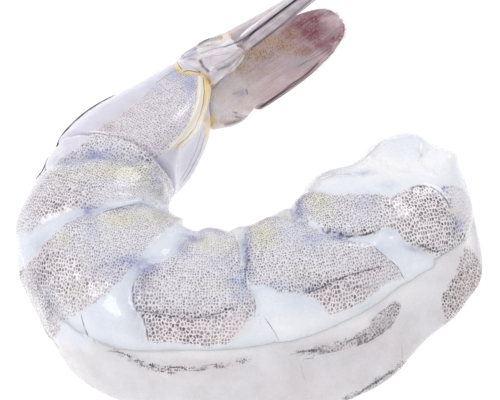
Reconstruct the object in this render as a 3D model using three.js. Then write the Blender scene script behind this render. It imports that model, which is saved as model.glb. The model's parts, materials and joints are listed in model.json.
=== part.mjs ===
// One raw prawn, peeled down to its tail and deveined, curled on its right side.
// Millimetres, +Z up. Its left side faces up, and its back is the outside of the curl.

import * as THREE from 'three';
import { ParametricGeometry } from 'three/addons/geometries/ParametricGeometry.js';
import { mergeVertices } from 'three/addons/utils/BufferGeometryUtils.js';

const { lerp, clamp, smoothstep } = THREE.MathUtils;
const SECTION_MIDDLE = new THREE.Vector3(0.5, 0, 0);

// Driving sizes

const MID_HEIGHT = 9.3; // from the table to the plane between the left and the right half
const RIB_REACH = 0.22; // half the width of a leaf's rib, as a share of half the leaf's width
const BASE_SQUARE = 24; // how square the base of a leaf is
const TIP_SQUARE = 5; // and its tip

// The rings of flesh from the neck to the last shelled segment. Each has the point of its belly
// and of its back in plan, half its width from side to side, and how open the cut is there.
// From the fifth on, every second ring is a joint between two segments.
const FLESH_RINGS = [
  { belly: [29.4, 6.2], back: [32.6, 1.0], half: 2.4, cut: 0 },
  { belly: [26.2, 9.4], back: [33.2, -2.6], half: 6.4, cut: 0.26 },
  { belly: [19.2, 9.6], back: [32.6, -8.4], half: 8.7, cut: 0.46 },
  { belly: [11.3, 4.4], back: [28.0, -13.4], half: 9.3, cut: 0.58 },
  { belly: [6.8, -2.6], back: [21.9, -18.5], half: 9.6, cut: 0.78 },
  { belly: [3.0, -6.0], back: [13.4, -24.7], half: 9.7, cut: 0.96 },
  { belly: [-1.0, -8.4], back: [3.5, -28.8], half: 9.7, cut: 0.85 },
  { belly: [-5.1, -8.9], back: [-8.4, -29.8], half: 9.7, cut: 0.62 },
  { belly: [-9.1, -8.3], back: [-21.6, -28.8], half: 9.6, cut: 0.42 },
  { belly: [-10.9, -6.2], back: [-30.0, -19.2], half: 9.5, cut: 0.15 },
  { belly: [-12.0, -3.4], back: [-35.0, -9.2], half: 9.3, cut: 0.04 },
  { belly: [-12.2, -0.4], back: [-32.9, -0.4], half: 9.1, cut: 0 },
  { belly: [-11.6, 2.0], back: [-31.0, 7.0], half: 8.8, cut: 0 },
];

// The sixth segment keeps its shell and narrows to the tail fan.
const SHELL_RINGS = [
  { belly: [-11.4, 2.4], back: [-30.8, 7.4], half: 8.8 },
  { belly: [-9.9, 6.5], back: [-27.0, 14.1], half: 8.3 },
  { belly: [-7.9, 11.2], back: [-19.7, 20.1], half: 7.6 },
  { belly: [-6.6, 15.2], back: [-13.9, 25.1], half: 6.7 },
  { belly: [-6.0, 18.6], back: [-9.9, 28.6], half: 5.4 },
];

// Sections, as shares of the depth from belly to back and of the half width, from the middle of
// the back over the left side to the middle of the belly. The right side mirrors the left.
const WHOLE_LEFT = [
  [1.0, 0.0], [1.0, 0.1], [0.99, 0.22], [0.965, 0.4], [0.89, 0.68],
  [0.72, 0.92], [0.46, 1.0], [0.21, 0.85], [0.05, 0.46], [0.0, 0.0],
];
const SHELL_LEFT = [
  [1.0, 0.0], [0.995, 0.16], [0.97, 0.36], [0.91, 0.58], [0.79, 0.8],
  [0.6, 0.95], [0.36, 1.0], [0.12, 0.93], [0.02, 0.7], [0.1, 0.0],
];
// The flesh where the cut lies open: its two lips, the slit between them and the right half, which
// spreads out under the left one.
const CUT_SECTION = [
  [0.45, 0.0], [0.72, 0.05], [0.94, 0.12], [1.0, 0.34], [0.93, 0.7], [0.73, 0.94],
  [0.46, 1.0], [0.2, 0.85], [0.04, 0.46], [0.0, 0.0], [0.04, -0.5], [0.2, -0.93],
  [0.48, -1.02], [0.94, -1.02], [1.27, -0.8], [1.36, -0.46], [1.18, -0.16], [0.78, -0.05],
];

const JOINT_GROOVE = 0.035; // how far a joint draws in, as a share of the section
const JOINT_REACH = 0.28; // how far along the groove reaches, in rings
const FIRST_JOINT = 4; // its ring, and every second ring after it is a joint too
const NECK_SLIP = 1.2; // the right half reaches this much further forward at the neck
const SHELL_BLEND = 1.5; // rings of the shelled segment over which its section changes
const FORWARD = new THREE.Vector3(0.85, 0.53, 0); // the way the neck points

// Lumps of loose flesh at the neck, and the creases between them. Each sits at a ring and at a place
// of the section, and swells by so many millimetres.
const NECK_LUMPS = [
  { ring: 0.2, depth: 0.1, side: 0.4, swell: 1.3 },
  { ring: 0.75, depth: 0.05, side: 0.5, swell: -3.2 },
  { ring: 1.4, depth: 0.1, side: 0.5, swell: 1.5 },
  { ring: 2.7, depth: 0.05, side: 0.4, swell: -2.4 },
];
const LUMP_RINGS = 0.4; // reach of a lump along the body, in rings
const LUMP_SECTION = 0.55; // and around it, in shares of the section

// The tail fan has a frame of its own: +X along the tail, +Y to the back, +Z to the left side.
const FAN_BASE = new THREE.Vector3(-7.9, 24.0, MID_HEIGHT);
const FAN_TURN = degrees(46);
const LEFT_FOLD = degrees(33); // each half of the fan folds this far towards the belly
const RIGHT_FOLD = degrees(44);

// Leaves of the fan. Base and tip are shares of the width, widest is a share of the length, and
// slant is how much the base leans across the width and across the thickness.
const TELSON = {
  length: 25, width: 6.2, thick: 2.6, base: 1, widest: 0.1, tip: 0.25, rib: -0.3, slant: [0, -0.46],
};
const STALK = {
  length: 7.2, width: 9.2, thick: 3.2, base: 0.7, widest: 0.8, tip: 0.96, rib: 0, slant: [0.28, 0.36],
};
const ENDOPOD = {
  length: 23, width: 9.2, thick: 0.8, base: 0.85, widest: 0.5, tip: 0.72, rib: 0.7, slant: [0, 0],
};
const EXOPOD = {
  length: 24.3, width: 9.2, thick: 0.8, base: 0.93, widest: 0.4, tip: 0.72, rib: 0.7, slant: [0, 0],
};

// Where the leaves start: along the tail, towards the back and out to the side
const TELSON_ROOT = [1.75, 3.5, 0];
const TELSON_DIP = degrees(-2.5);
// and in the plane of half a fan: along the tail, inwards and towards the back.
const STALK_ROOT = [-0.6, -4.3, 0.9];
const STALK_SPREAD = degrees(-8);
const ENDOPOD_ROOT = [7.0, -4.7, 0.4];
const EXOPOD_ROOT = [7.0, -6.0, 2.0];
const LEAF_SPREAD = degrees(-1);
const LEFT_REACH = 0.8; // the left half starts this far out from the middle of the fan

// Steps of the meshes, around and along
const FLESH_STEPS = [54, 48];
const SHELL_STEPS = [36, 16];
const LEAF_STEPS = [20, 16];
const STALK_STEPS = [16, 10];

const FLESH_COLOUR = 0xe4e7ee;
const SHELL_COLOUR = 0xcfc9cc;
const FAN_COLOUR = 0xa88d90;

function degrees(angle) {
  return THREE.MathUtils.degToRad(angle);
}

// A closed surface from a function of two shares, the first around it and the second along it.
// Its first and last rows are points.
function closedSurface(place, [around, along]) {
  const sheet = new ParametricGeometry(place, around, along);
  sheet.deleteAttribute('normal');
  sheet.deleteAttribute('uv');
  const merged = mergeVertices(sheet, 1e-4);
  const corners = Array.from(merged.index.array);
  const kept = [];
  for (let i = 0; i < corners.length; i += 3) {
    const [a, b, c] = corners.slice(i, i + 3);
    if (a !== b && b !== c && c !== a) kept.push(a, b, c);
  }
  merged.setIndex(kept);
  merged.computeVertexNormals();
  return merged;
}

function mirrored(left) {
  return [...left, ...left.slice(1, -1).reverse().map(([depth, side]) => [depth, -side])];
}

const WHOLE_SECTION = mirrored(WHOLE_LEFT);
const SHELL_SECTION = mirrored(SHELL_LEFT);

// A smooth closed section between two outlines with the same number of points.
function sectionBetween(first, second, share) {
  const points = first.map(([depth, side], i) => new THREE.Vector3(
    lerp(depth, second[i][0], share), lerp(side, second[i][1], share), 0));
  return new THREE.CatmullRomCurve3(points, true, 'centripetal');
}

// A body through rings. shape(ring, cut) gives the section there, and settle(point, ring, spot,
// outward) may still move a point. Its first and last rows are the middles of its flat ends.
function ringBody(rings, steps, shape, settle) {
  const lastRing = rings.length - 1;
  const through = (pick) => new THREE.CatmullRomCurve3(rings.map(pick), false, 'centripetal');
  const belly = through((ring) => new THREE.Vector3(...ring.belly, 0));
  const back = through((ring) => new THREE.Vector3(...ring.back, 0));
  const half = through((ring) => new THREE.Vector3(ring.half, ring.cut ?? 0, 0));
  const sections = new Map();
  const lastRow = steps[1];
  const place = (around, share, target) => {
    const row = share * lastRow;
    const isEnd = row < 0.5 || row > lastRow - 0.5;
    const along = clamp((row - 1) / (lastRow - 2), 0, 1);
    const ring = along * lastRing;
    const { x: halfWidth, y: cut } = half.getPoint(along);
    if (!sections.has(along)) sections.set(along, shape(ring, cut));
    const { outline, size } = sections.get(along);
    const spot = outline.getPoint(around % 1);
    spot.lerp(SECTION_MIDDLE, isEnd ? 1 : 1 - size);
    const start = belly.getPoint(along);
    const end = back.getPoint(along);
    target.lerpVectors(start, end, spot.x);
    target.z = MID_HEIGHT + spot.y * halfWidth;
    const outward = end.sub(start).multiplyScalar(spot.x - 0.5).setZ(spot.y * halfWidth).normalize();
    if (!isEnd) settle(target, ring, spot, outward);
    target.z = Math.max(target.z, 0);
  };
  return closedSurface(place, steps);
}

function fleshGeometry() {
  const shape = (ring, cut) => {
    const fromJoint = Math.abs(((ring - FIRST_JOINT + 1) % 2) - 1);
    const deep = ring > FIRST_JOINT - 1 ? JOINT_GROOVE * Math.exp(-((fromJoint / JOINT_REACH) ** 2)) : 0;
    return { outline: sectionBetween(WHOLE_SECTION, CUT_SECTION, clamp(cut, 0, 1)), size: 1 - deep };
  };
  const settle = (point, ring, spot, outward) => {
    const slip = NECK_SLIP * Math.max(0, 1 - ring / FIRST_JOINT) * Math.max(0, -spot.y);
    point.addScaledVector(FORWARD, slip);
    for (const lump of NECK_LUMPS) {
      const apart = Math.hypot(spot.x - lump.depth, spot.y - lump.side) / LUMP_SECTION;
      const swell = lump.swell * Math.exp(-(((ring - lump.ring) / LUMP_RINGS) ** 2) - apart ** 2);
      point.addScaledVector(outward, swell);
    }
  };
  return ringBody(FLESH_RINGS, FLESH_STEPS, shape, settle);
}

function shellGeometry() {
  const shape = (ring) => ({
    outline: sectionBetween(WHOLE_SECTION, SHELL_SECTION, smoothstep(ring, 0, SHELL_BLEND)),
    size: 1,
  });
  return ringBody(SHELL_RINGS, SHELL_STEPS, shape, () => {});
}

// A flat leaf along +X with a rounded base and tip, its width along Y and a rib along its middle.
function leafGeometry({ length, width, thick, base, widest, tip, rib, slant }, steps) {
  const place = (around, along, target) => {
    const share = (1 - Math.cos(Math.PI * along)) / 2;
    const spread = share < widest
      ? lerp(base, 1, smoothstep(share, 0, widest))
      : lerp(1, tip, smoothstep(share, widest, 1));
    const square = share < 0.5 ? BASE_SQUARE : TIP_SQUARE;
    const endRound = Math.sqrt(Math.max(0, 1 - Math.abs(2 * share - 1) ** square));
    const angle = 2 * Math.PI * around;
    const across = Math.cos(angle);
    const ribbed = 1 + rib * Math.exp(-((across / RIB_REACH) ** 2));
    const y = (width / 2) * spread * endRound * across;
    const z = (thick / 2) * endRound * Math.sin(angle) * ribbed;
    const lean = (slant[0] * y + slant[1] * z) * (1 - share);
    target.set(share * length + lean, y, z);
  };
  return closedSurface(place, steps);
}

const part = new THREE.Group();
const prawn = new THREE.Group();
part.add(prawn);
const finish = (color, roughness) => new THREE.MeshStandardMaterial({ color, roughness, metalness: 0 });
const fleshFinish = finish(FLESH_COLOUR, 0.3);
const shellFinish = finish(SHELL_COLOUR, 0.25);
const fanFinish = finish(FAN_COLOUR, 0.35);

function addPiece(parent, name, geometry, material) {
  const mesh = new THREE.Mesh(geometry, material);
  mesh.name = name;
  parent.add(mesh);
  return mesh;
}

addPiece(prawn, 'flesh', fleshGeometry(), fleshFinish);
addPiece(prawn, 'tail_segment', shellGeometry(), shellFinish);

const fan = new THREE.Group();
fan.position.copy(FAN_BASE);
fan.rotation.z = FAN_TURN;
prawn.add(fan);

const telson = addPiece(fan, 'telson', leafGeometry(TELSON, LEAF_STEPS), fanFinish);
telson.position.set(...TELSON_ROOT);
telson.rotation.set(degrees(90), 0, TELSON_DIP, 'ZYX');

// One half of the fan on the left side. The right one is its mirror image, with its own fold.
function addFanHalf(sideName, mirror, fold, reach) {
  const half = new THREE.Group();
  half.scale.z = mirror;
  fan.add(half);
  const turned = new THREE.Group();
  turned.rotation.x = fold - degrees(90);
  half.add(turned);
  const plane = new THREE.Group();
  plane.position.y = -reach;
  turned.add(plane);
  const stalk = addPiece(plane, `uropod_base_${sideName}`, leafGeometry(STALK, STALK_STEPS), fanFinish);
  stalk.position.set(...STALK_ROOT);
  stalk.rotation.z = STALK_SPREAD;
  const endopod = addPiece(plane, `endopod_${sideName}`, leafGeometry(ENDOPOD, LEAF_STEPS), fanFinish);
  endopod.position.set(...ENDOPOD_ROOT);
  endopod.rotation.z = LEAF_SPREAD;
  const exopod = addPiece(plane, `exopod_${sideName}`, leafGeometry(EXOPOD, LEAF_STEPS), fanFinish);
  exopod.position.set(...EXOPOD_ROOT);
  exopod.rotation.z = LEAF_SPREAD;
}

addFanHalf('left', 1, LEFT_FOLD, LEFT_REACH);
addFanHalf('right', -1, RIGHT_FOLD, 0);

// The origin lies on the table, under the middle of the whole prawn.
const bounds = new THREE.Box3().setFromObject(prawn, true);
const middle = bounds.getCenter(new THREE.Vector3());
prawn.position.set(-middle.x, -middle.y, -bounds.min.z);

export default part;
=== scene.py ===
# %% [markdown]
# # One peeled prawn, curled on its side
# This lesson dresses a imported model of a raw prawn. It was peeled down to its tail fan and slit open along
# the back. The model gives every size and place. Here the flesh gets its relief, its patches of pigment dots
# and its wet surface, and the tail gets its shell, its ribs and its fringe of hair.

# %% Load the model
import json
import math
import random
import bpy
import numpy as np
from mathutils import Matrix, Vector, kdtree, noise

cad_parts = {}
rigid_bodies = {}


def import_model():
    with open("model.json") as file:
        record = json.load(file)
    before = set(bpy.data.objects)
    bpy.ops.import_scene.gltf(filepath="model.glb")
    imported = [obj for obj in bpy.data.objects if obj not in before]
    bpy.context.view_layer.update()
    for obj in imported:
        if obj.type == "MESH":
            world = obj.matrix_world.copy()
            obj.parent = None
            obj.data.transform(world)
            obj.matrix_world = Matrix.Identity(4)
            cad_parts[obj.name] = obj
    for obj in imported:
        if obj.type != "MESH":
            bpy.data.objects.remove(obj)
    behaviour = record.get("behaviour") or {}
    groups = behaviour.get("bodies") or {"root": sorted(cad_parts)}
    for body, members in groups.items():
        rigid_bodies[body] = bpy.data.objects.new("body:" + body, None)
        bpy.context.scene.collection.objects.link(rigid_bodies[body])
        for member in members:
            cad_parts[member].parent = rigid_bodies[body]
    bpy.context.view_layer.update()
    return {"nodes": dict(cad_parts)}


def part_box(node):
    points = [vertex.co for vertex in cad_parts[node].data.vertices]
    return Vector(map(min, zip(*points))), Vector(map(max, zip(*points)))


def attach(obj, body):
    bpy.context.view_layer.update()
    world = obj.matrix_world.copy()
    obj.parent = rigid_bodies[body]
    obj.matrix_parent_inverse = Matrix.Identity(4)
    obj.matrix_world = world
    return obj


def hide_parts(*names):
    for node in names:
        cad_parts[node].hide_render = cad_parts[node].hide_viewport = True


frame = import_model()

MM = 0.001
print("nodes:", sorted(frame["nodes"]))

# %% [markdown]
# Operators act on whatever is selected, and loading leaves everything selected. So each step starts by
# choosing one object and nothing else.

# %% Choose one object
def choose(piece):
    bpy.ops.object.select_all(action="DESELECT")
    piece.select_set(True)
    bpy.context.view_layer.objects.active = piece


bpy.ops.object.select_all(action="DESELECT")
print("selected:", len(bpy.context.selected_objects))

# %% [markdown]
# The camera comes first, because the markings of the prawn are placed through it. It looks down at half a
# right angle and a bit, from far away, as for a picture of food. Its lens is long, so the prawn hardly
# narrows with distance.

# %% Camera
PHOTO_SIZE = (500, 400)
AIM = np.array([-0.08, -5.12, 9.0]) * MM
ELEVATION = math.radians(50)
LENS = 120.0
SENSOR = 36.0
FOCAL_PIXELS = LENS / SENSOR * PHOTO_SIZE[0]
PIXELS_PER_MM = 6.6  # in the picture, at the aim
DISTANCE = FOCAL_PIXELS / PIXELS_PER_MM * MM
TO_CAMERA = np.array([0.0, -math.cos(ELEVATION), math.sin(ELEVATION)])
PICTURE_UP = np.array([0.0, math.sin(ELEVATION), math.cos(ELEVATION)])
CAMERA_PLACE = AIM + TO_CAMERA * DISTANCE

bpy.ops.object.camera_add(location=CAMERA_PLACE, rotation=(math.radians(90) - ELEVATION, 0, 0))
camera = bpy.context.object
camera.name = "camera"
camera.data.lens = LENS
camera.data.sensor_width = SENSOR
camera.data.clip_start = 0.01
camera.data.clip_end = 5.0
bpy.context.scene.camera = camera
print("camera is", round(DISTANCE / MM), "mm away")


# %% Where a point lands in the picture
def photo_xy(points):
    """Picture coordinates, in pixels of a 500 x 400 picture, of points in metres."""
    away = points - CAMERA_PLACE
    depth = -(away @ TO_CAMERA)
    across = PHOTO_SIZE[0] / 2 + FOCAL_PIXELS * away[:, 0] / depth
    down = PHOTO_SIZE[1] / 2 - FOCAL_PIXELS * (away @ PICTURE_UP) / depth
    return np.column_stack([across, down])


print("the aim lands at", photo_xy(AIM[None, :])[0].round(1))

# %% [markdown]
# Outlines and lines are short lists of points in the picture. A patch gives each vertex its distance to the
# patch's border, positive inside. The shader draws the border from that distance, so it is crisp although
# the mesh is coarser than the border.

# %% Distances to outlines and lines
FAR = 1e9  # pixels, further than anything


def smooth(value, low, high):
    share = np.clip((value - low) / (high - low), 0, 1)
    return share * share * (3 - 2 * share)


def line_distance(xy, line):
    """The signed distance to a line of points, and how far along it the nearest place is, from 0 to 1."""
    line = np.array(line, float)
    spans = np.linalg.norm(line[1:] - line[:-1], axis=1)
    starts = np.concatenate([[0], np.cumsum(spans)])
    best = np.full(len(xy), FAR)
    signed = np.full(len(xy), FAR)
    along = np.zeros(len(xy))
    for i, (start, end) in enumerate(zip(line[:-1], line[1:])):
        way = (end - start) / spans[i]
        offset = xy - start
        run = offset @ way
        nearest = np.clip(run, 0, spans[i])
        apart = np.linalg.norm(offset - nearest[:, None] * way, axis=1)
        side = np.where(way[0] * offset[:, 1] - way[1] * offset[:, 0] >= 0, 1.0, -1.0)
        closer = apart < best
        best = np.where(closer, apart, best)
        signed = np.where(closer, apart * side, signed)
        along = np.where(closer, (starts[i] + run) / starts[-1], along)
    return signed, along


print("from a line:", line_distance(np.array([[5.0, 3.0]]), [(0, 0), (10, 0)]))


# %% How deep inside an outline
def patch_depth(xy, outline):
    """How far inside a closed outline each point lies, in pixels, and negative outside it."""
    closed = list(outline) + [outline[0]]
    apart = np.abs(line_distance(xy, closed)[0])
    inside = np.zeros(len(xy), bool)
    for (x0, y0), (x1, y1) in zip(closed[:-1], closed[1:]):
        if y0 == y1:
            continue
        crosses = (y0 > xy[:, 1]) != (y1 > xy[:, 1])
        at = x0 + (xy[:, 1] - y0) * (x1 - x0) / (y1 - y0)
        inside ^= crosses & (xy[:, 0] < at)
    return np.where(inside, apart, -apart)


test_square = [(0, 0), (10, 0), (10, 10), (0, 10)]
print("depth in a square:", patch_depth(np.array([[5.0, 5.0], [12.0, 5.0]]), test_square))


# %% Soft spots and strokes
def spots_at(xy, spots):
    """Soft spots, each (x, y, half width, half height, strength). The strongest one wins."""
    total = np.zeros(len(xy))
    for x, y, wide, high, strength in spots:
        value = strength * np.exp(-((xy[:, 0] - x) / wide) ** 2 - ((xy[:, 1] - y) / high) ** 2)
        total = np.maximum(total, value)
    return total


def stroke(line, half, strength):
    """A row of spots along a line of points, close enough to run together."""
    spots = []
    for (x0, y0), (x1, y1) in zip(line[:-1], line[1:]):
        count = math.ceil(1.5 * math.hypot(x1 - x0, y1 - y0) / half)
        for i in range(count + 1):
            spots.append((x0 + (x1 - x0) * i / count, y0 + (y1 - y0) * i / count, half, half, strength))
    return spots


print("spots in a stroke:", len(stroke([(0, 0), (10, 0)], 2, 1.0)))

# %% [markdown]
# The pigment lies in patches of skin, one or two on each segment. White muscle shows between them. The
# outlines go beyond the prawn's own edge where a patch runs on round it.

# %% Patches on the upper half
PATCH_FRONT = [
    (294, 204), (297, 200), (303, 197), (313, 195), (323, 195), (337, 196), (350, 195), (363, 194), (377, 195),
    (390, 197), (397, 194), (407, 190), (413, 187), (423, 186), (433, 188), (440, 193), (445, 200), (449, 207),
    (452, 212), (458, 220), (463, 230), (465, 237), (462, 242), (453, 247), (445, 252), (437, 256), (427, 252),
    (418, 247), (410, 243), (402, 238), (397, 231), (390, 228), (383, 228), (378, 232), (368, 234), (355, 235),
    (337, 233), (328, 232), (322, 228), (312, 222), (303, 220), (297, 220), (295, 211),
]
PATCH_PALE = [
    (441, 187), (452, 185), (464, 189), (471, 200), (473, 215), (470, 228), (465, 236), (458, 220), (451, 211),
    (446, 200),
]
PATCH_SECOND = [
    (243, 237), (247, 228), (255, 222), (267, 218), (290, 216), (303, 220), (315, 225), (323, 232), (333, 234),
    (347, 237), (360, 240), (368, 243), (375, 247), (383, 255), (392, 263), (398, 270), (402, 278), (393, 281),
    (383, 286), (375, 292), (363, 302), (353, 307), (343, 310), (332, 315), (327, 312), (320, 305), (310, 298),
    (302, 295), (288, 293), (277, 293), (272, 287), (263, 286), (250, 288), (243, 282), (242, 272), (246, 263),
    (244, 252),
]
PATCH_THIRD = [
    (185, 238), (177, 250), (165, 260), (153, 264), (142, 268), (135, 278), (132, 290), (132, 302), (137, 311),
    (142, 317), (144, 326), (147, 340), (152, 342), (177, 342), (202, 345), (215, 345), (228, 343), (237, 334),
    (245, 323), (253, 317), (257, 305), (254, 295), (248, 285), (242, 274), (241, 258), (241, 243), (234, 236),
    (223, 228), (210, 224), (198, 232),
]
PATCH_FOURTH = [
    (82, 215), (65, 223), (55, 233), (45, 243), (38, 253), (27, 263), (20, 270), (18, 282), (20, 293),
    (27, 305), (35, 317), (43, 329), (52, 341), (60, 334), (64, 322), (72, 317), (82, 312), (93, 305),
    (105, 297), (113, 288), (123, 280), (130, 269), (139, 260), (147, 251), (153, 242), (161, 235), (170, 229),
    (179, 223), (176, 214), (160, 208), (148, 203), (139, 201), (127, 205), (110, 210), (97, 214),
]
PATCH_FIFTH = [
    (30, 180), (46, 168), (58, 159), (72, 151), (88, 144), (100, 136), (104, 130), (150, 134), (176, 150),
    (182, 180), (180, 206), (168, 207), (158, 204), (148, 200), (138, 198), (124, 198), (110, 200), (97, 206),
    (86, 210), (78, 207), (66, 209), (54, 213), (43, 220), (35, 228), (24, 233), (2, 236), (2, 215), (14, 194),
]
UPPER_PATCHES = [PATCH_FRONT, PATCH_SECOND, PATCH_THIRD, PATCH_FOURTH, PATCH_FIFTH]
print("upper patches:", len(UPPER_PATCHES))

# %% Patches on the spread right half
BAND_EDGE = [
    (463, 248), (460, 263), (458, 273), (452, 283), (445, 292), (441, 298), (442, 308), (445, 320), (442, 331),
    (450, 330), (462, 318), (474, 302), (482, 284), (481, 268), (476, 256), (468, 246),
]
BAND_LEFT = [
    (107, 350), (120, 350), (133, 356), (145, 362), (160, 366), (180, 366), (210, 365), (232, 362), (249, 358),
    (249, 361), (232, 366), (210, 369), (190, 370), (168, 373), (155, 370), (143, 366), (130, 360), (118, 354),
]
BAND_RIGHT = [
    (289, 355), (302, 350), (317, 347), (330, 344), (343, 340), (357, 335), (367, 329), (373, 320), (380, 312),
    (388, 306), (398, 303), (400, 307), (396, 316), (391, 326), (381, 334), (368, 341), (350, 347), (330, 352),
    (310, 355), (297, 356),
]
BAND_LOWER = [
    (403, 360), (396, 366), (386, 373), (372, 383), (357, 392), (340, 400), (336, 410), (352, 408), (372, 398),
    (392, 384), (408, 368),
]
LOWER_PATCHES = [BAND_EDGE, BAND_LEFT, BAND_RIGHT, BAND_LOWER]
print("lower patches:", len(LOWER_PATCHES))

# %% [markdown]
# Near the belly the dots are small and pale, and near the back they are large and dark. A few places carry
# the grain and the strength of the ink, and every vertex takes the mean of the places near it.

# %% Grain and ink of the dots
# Each place is x, y, how coarse the dots are and how dark they are.
DOT_PLACES = [
    (300, 208, 0.7, 1.0), (330, 205, 0.2, 0.55), (345, 222, 0.4, 0.7), (370, 215, 0.5, 0.7),
    (395, 205, 0.7, 0.75), (395, 222, 0.7, 0.7), (420, 205, 1.0, 0.85), (425, 235, 1.0, 1.0),
    (450, 235, 0.9, 0.9), (462, 205, 0.3, 0.35), (250, 245, 0.6, 0.9), (265, 235, 0.3, 0.55),
    (290, 232, 0.1, 0.35), (320, 245, 0.2, 0.5), (355, 250, 0.2, 0.5), (300, 265, 0.3, 0.55),
    (270, 275, 0.4, 0.6), (340, 265, 0.3, 0.5), (380, 262, 0.3, 0.5), (300, 287, 0.6, 0.85),
    (345, 290, 0.95, 0.8), (330, 305, 1.0, 0.8), (385, 275, 0.5, 0.45), (210, 245, 0.1, 0.35),
    (190, 270, 0.2, 0.5), (145, 285, 0.5, 0.95), (215, 285, 0.2, 0.5), (170, 295, 0.2, 0.45),
    (240, 290, 0.4, 0.6), (215, 310, 0.4, 0.6), (150, 330, 1.0, 1.0), (185, 330, 1.0, 0.85),
    (215, 330, 0.9, 0.65), (240, 330, 0.8, 0.3), (60, 240, 0.4, 0.6), (35, 275, 0.9, 0.85),
    (60, 265, 0.8, 0.7), (50, 300, 0.8, 0.85), (85, 290, 0.6, 0.65), (70, 312, 0.4, 0.45),
    (115, 275, 0.4, 0.55), (95, 235, 0.3, 0.45), (120, 225, 0.2, 0.45), (150, 225, 0.3, 0.5),
    (130, 250, 0.3, 0.5), (45, 190, 0.5, 0.6), (65, 175, 0.5, 0.75), (50, 210, 0.7, 0.8), (90, 185, 0.6, 0.65),
    (80, 200, 0.7, 0.7), (120, 180, 0.3, 0.4), (115, 195, 0.2, 0.35), (145, 165, 0.6, 0.8),
    (150, 190, 0.3, 0.45), (30, 225, 0.4, 0.5), (462, 280, 0.9, 1.0), (462, 260, 0.9, 1.0),
    (447, 305, 0.9, 1.0), (392, 314, 0.5, 1.0), (370, 331, 0.45, 1.0), (345, 344, 0.4, 1.0),
    (315, 352, 0.3, 1.0), (120, 353, 0.2, 1.0), (150, 366, 0.2, 1.0), (185, 368, 0.2, 1.0),
    (225, 364, 0.2, 1.0), (370, 386, 0.4, 1.0), (395, 368, 0.4, 1.0), (148, 300, 0.7, 1.0),
    (28, 290, 0.9, 1.0), (45, 262, 0.9, 0.9), (30, 275, 1.0, 1.0), (420, 245, 1.0, 1.1), (440, 250, 1.0, 1.1),
    (432, 200, 1.0, 1.0),
]


NEAR = 60  # square pixels within which all places count nearly alike
FALL = 1.5  # how steeply a place loses weight beyond that


def dots_at(xy):
    """Grain and ink at each point, as the mean of the places, the nearer the stronger."""
    places = np.array(DOT_PLACES)
    weights = np.zeros(len(xy))
    grain = np.zeros(len(xy))
    ink = np.zeros(len(xy))
    for x, y, coarse, dark in places:
        weight = 1 / ((xy[:, 0] - x) ** 2 + (xy[:, 1] - y) ** 2 + NEAR) ** FALL
        weights += weight
        grain += weight * coarse
        ink += weight * dark
    return grain / weights, ink / weights


print("grain and ink at the front patch:", [v.round(2) for v in dots_at(np.array([[425.0, 225.0]]))])

# %% [markdown]
# Between the dots the skin is tinted: blue along the joints, yellow-green on the shoulders of the segments.
# These are soft spots, as a watercolour would have them. The same kind of spots paint light and shade on the white
# flesh.

# %% Tints
BLUE_SPOTS = [
    (97, 156, 17, 6, 1.0), (68, 163, 14, 5, 0.6), (128, 163, 20, 5, 0.5), (155, 178, 10, 18, 0.4),
    (88, 211, 9, 8, 1.0), (74, 220, 10, 5, 0.45), (112, 209, 18, 3, 0.6), (142, 203, 12, 4, 0.8),
    (165, 211, 8, 5, 0.5), (130, 262, 26, 7, 0.75), (112, 268, 18, 14, 0.45), (92, 232, 8, 14, 0.35),
    (146, 270, 12, 7, 0.9), (136, 287, 6, 14, 0.35), (192, 238, 12, 6, 0.8), (181, 248, 8, 9, 0.6),
    (238, 281, 12, 7, 0.9), (240, 292, 10, 10, 0.5), (246, 248, 5, 16, 1.0), (246, 272, 6, 8, 0.7),
    (299, 211, 7, 11, 1.0), (340, 237, 11, 5, 1.0), (312, 240, 16, 8, 0.6), (330, 232, 8, 3, 0.5),
    (366, 202, 12, 10, 0.35), (444, 190, 5, 4, 0.8), (458, 224, 6, 7, 0.8), (290, 232, 18, 9, 0.3),
    (362, 172, 14, 3, 0.7), (388, 185, 10, 5, 0.35), (225, 262, 14, 10, 0.3), (276, 285, 10, 5, 0.45),
    (307, 290, 14, 4, 0.5), (375, 250, 10, 6, 0.25), (213, 230, 14, 3, 0.6), (50, 292, 8, 16, 0.3),
]
YELLOW_SPOTS = [
    (120, 171, 30, 8, 1.0), (140, 182, 12, 8, 0.5), (62, 178, 14, 7, 0.3), (122, 220, 18, 9, 0.9),
    (155, 219, 20, 7, 0.6), (62, 240, 12, 6, 0.6), (205, 244, 12, 8, 0.7), (225, 250, 14, 10, 0.4),
    (236, 243, 5, 8, 0.7), (264, 235, 14, 12, 1.0), (322, 204, 12, 9, 0.9), (325, 216, 10, 6, 0.35),
    (285, 213, 8, 5, 0.9), (235, 231, 6, 4, 0.8), (450, 212, 12, 5, 0.4), (158, 195, 8, 8, 0.4),
    (75, 290, 14, 10, 0.3), (220, 285, 14, 6, 0.35), (300, 272, 20, 8, 0.2), (215, 339, 12, 4, 0.3),
]
PINK_SPOTS = [
    (60, 205, 26, 14, 0.6), (45, 268, 20, 22, 0.8), (90, 280, 24, 16, 0.5), (185, 330, 40, 12, 0.75),
    (340, 293, 34, 14, 0.6), (420, 215, 34, 22, 0.35), (462, 285, 14, 28, 0.9), (235, 330, 16, 12, 0.7),
    (150, 175, 12, 8, 0.2), (370, 270, 22, 8, 0.5), (60, 345, 30, 20, 0.5), (300, 385, 60, 16, 0.5),
    (380, 345, 40, 14, 0.6), (450, 265, 14, 14, 0.4), (200, 380, 80, 14, 0.3),
]
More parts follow.
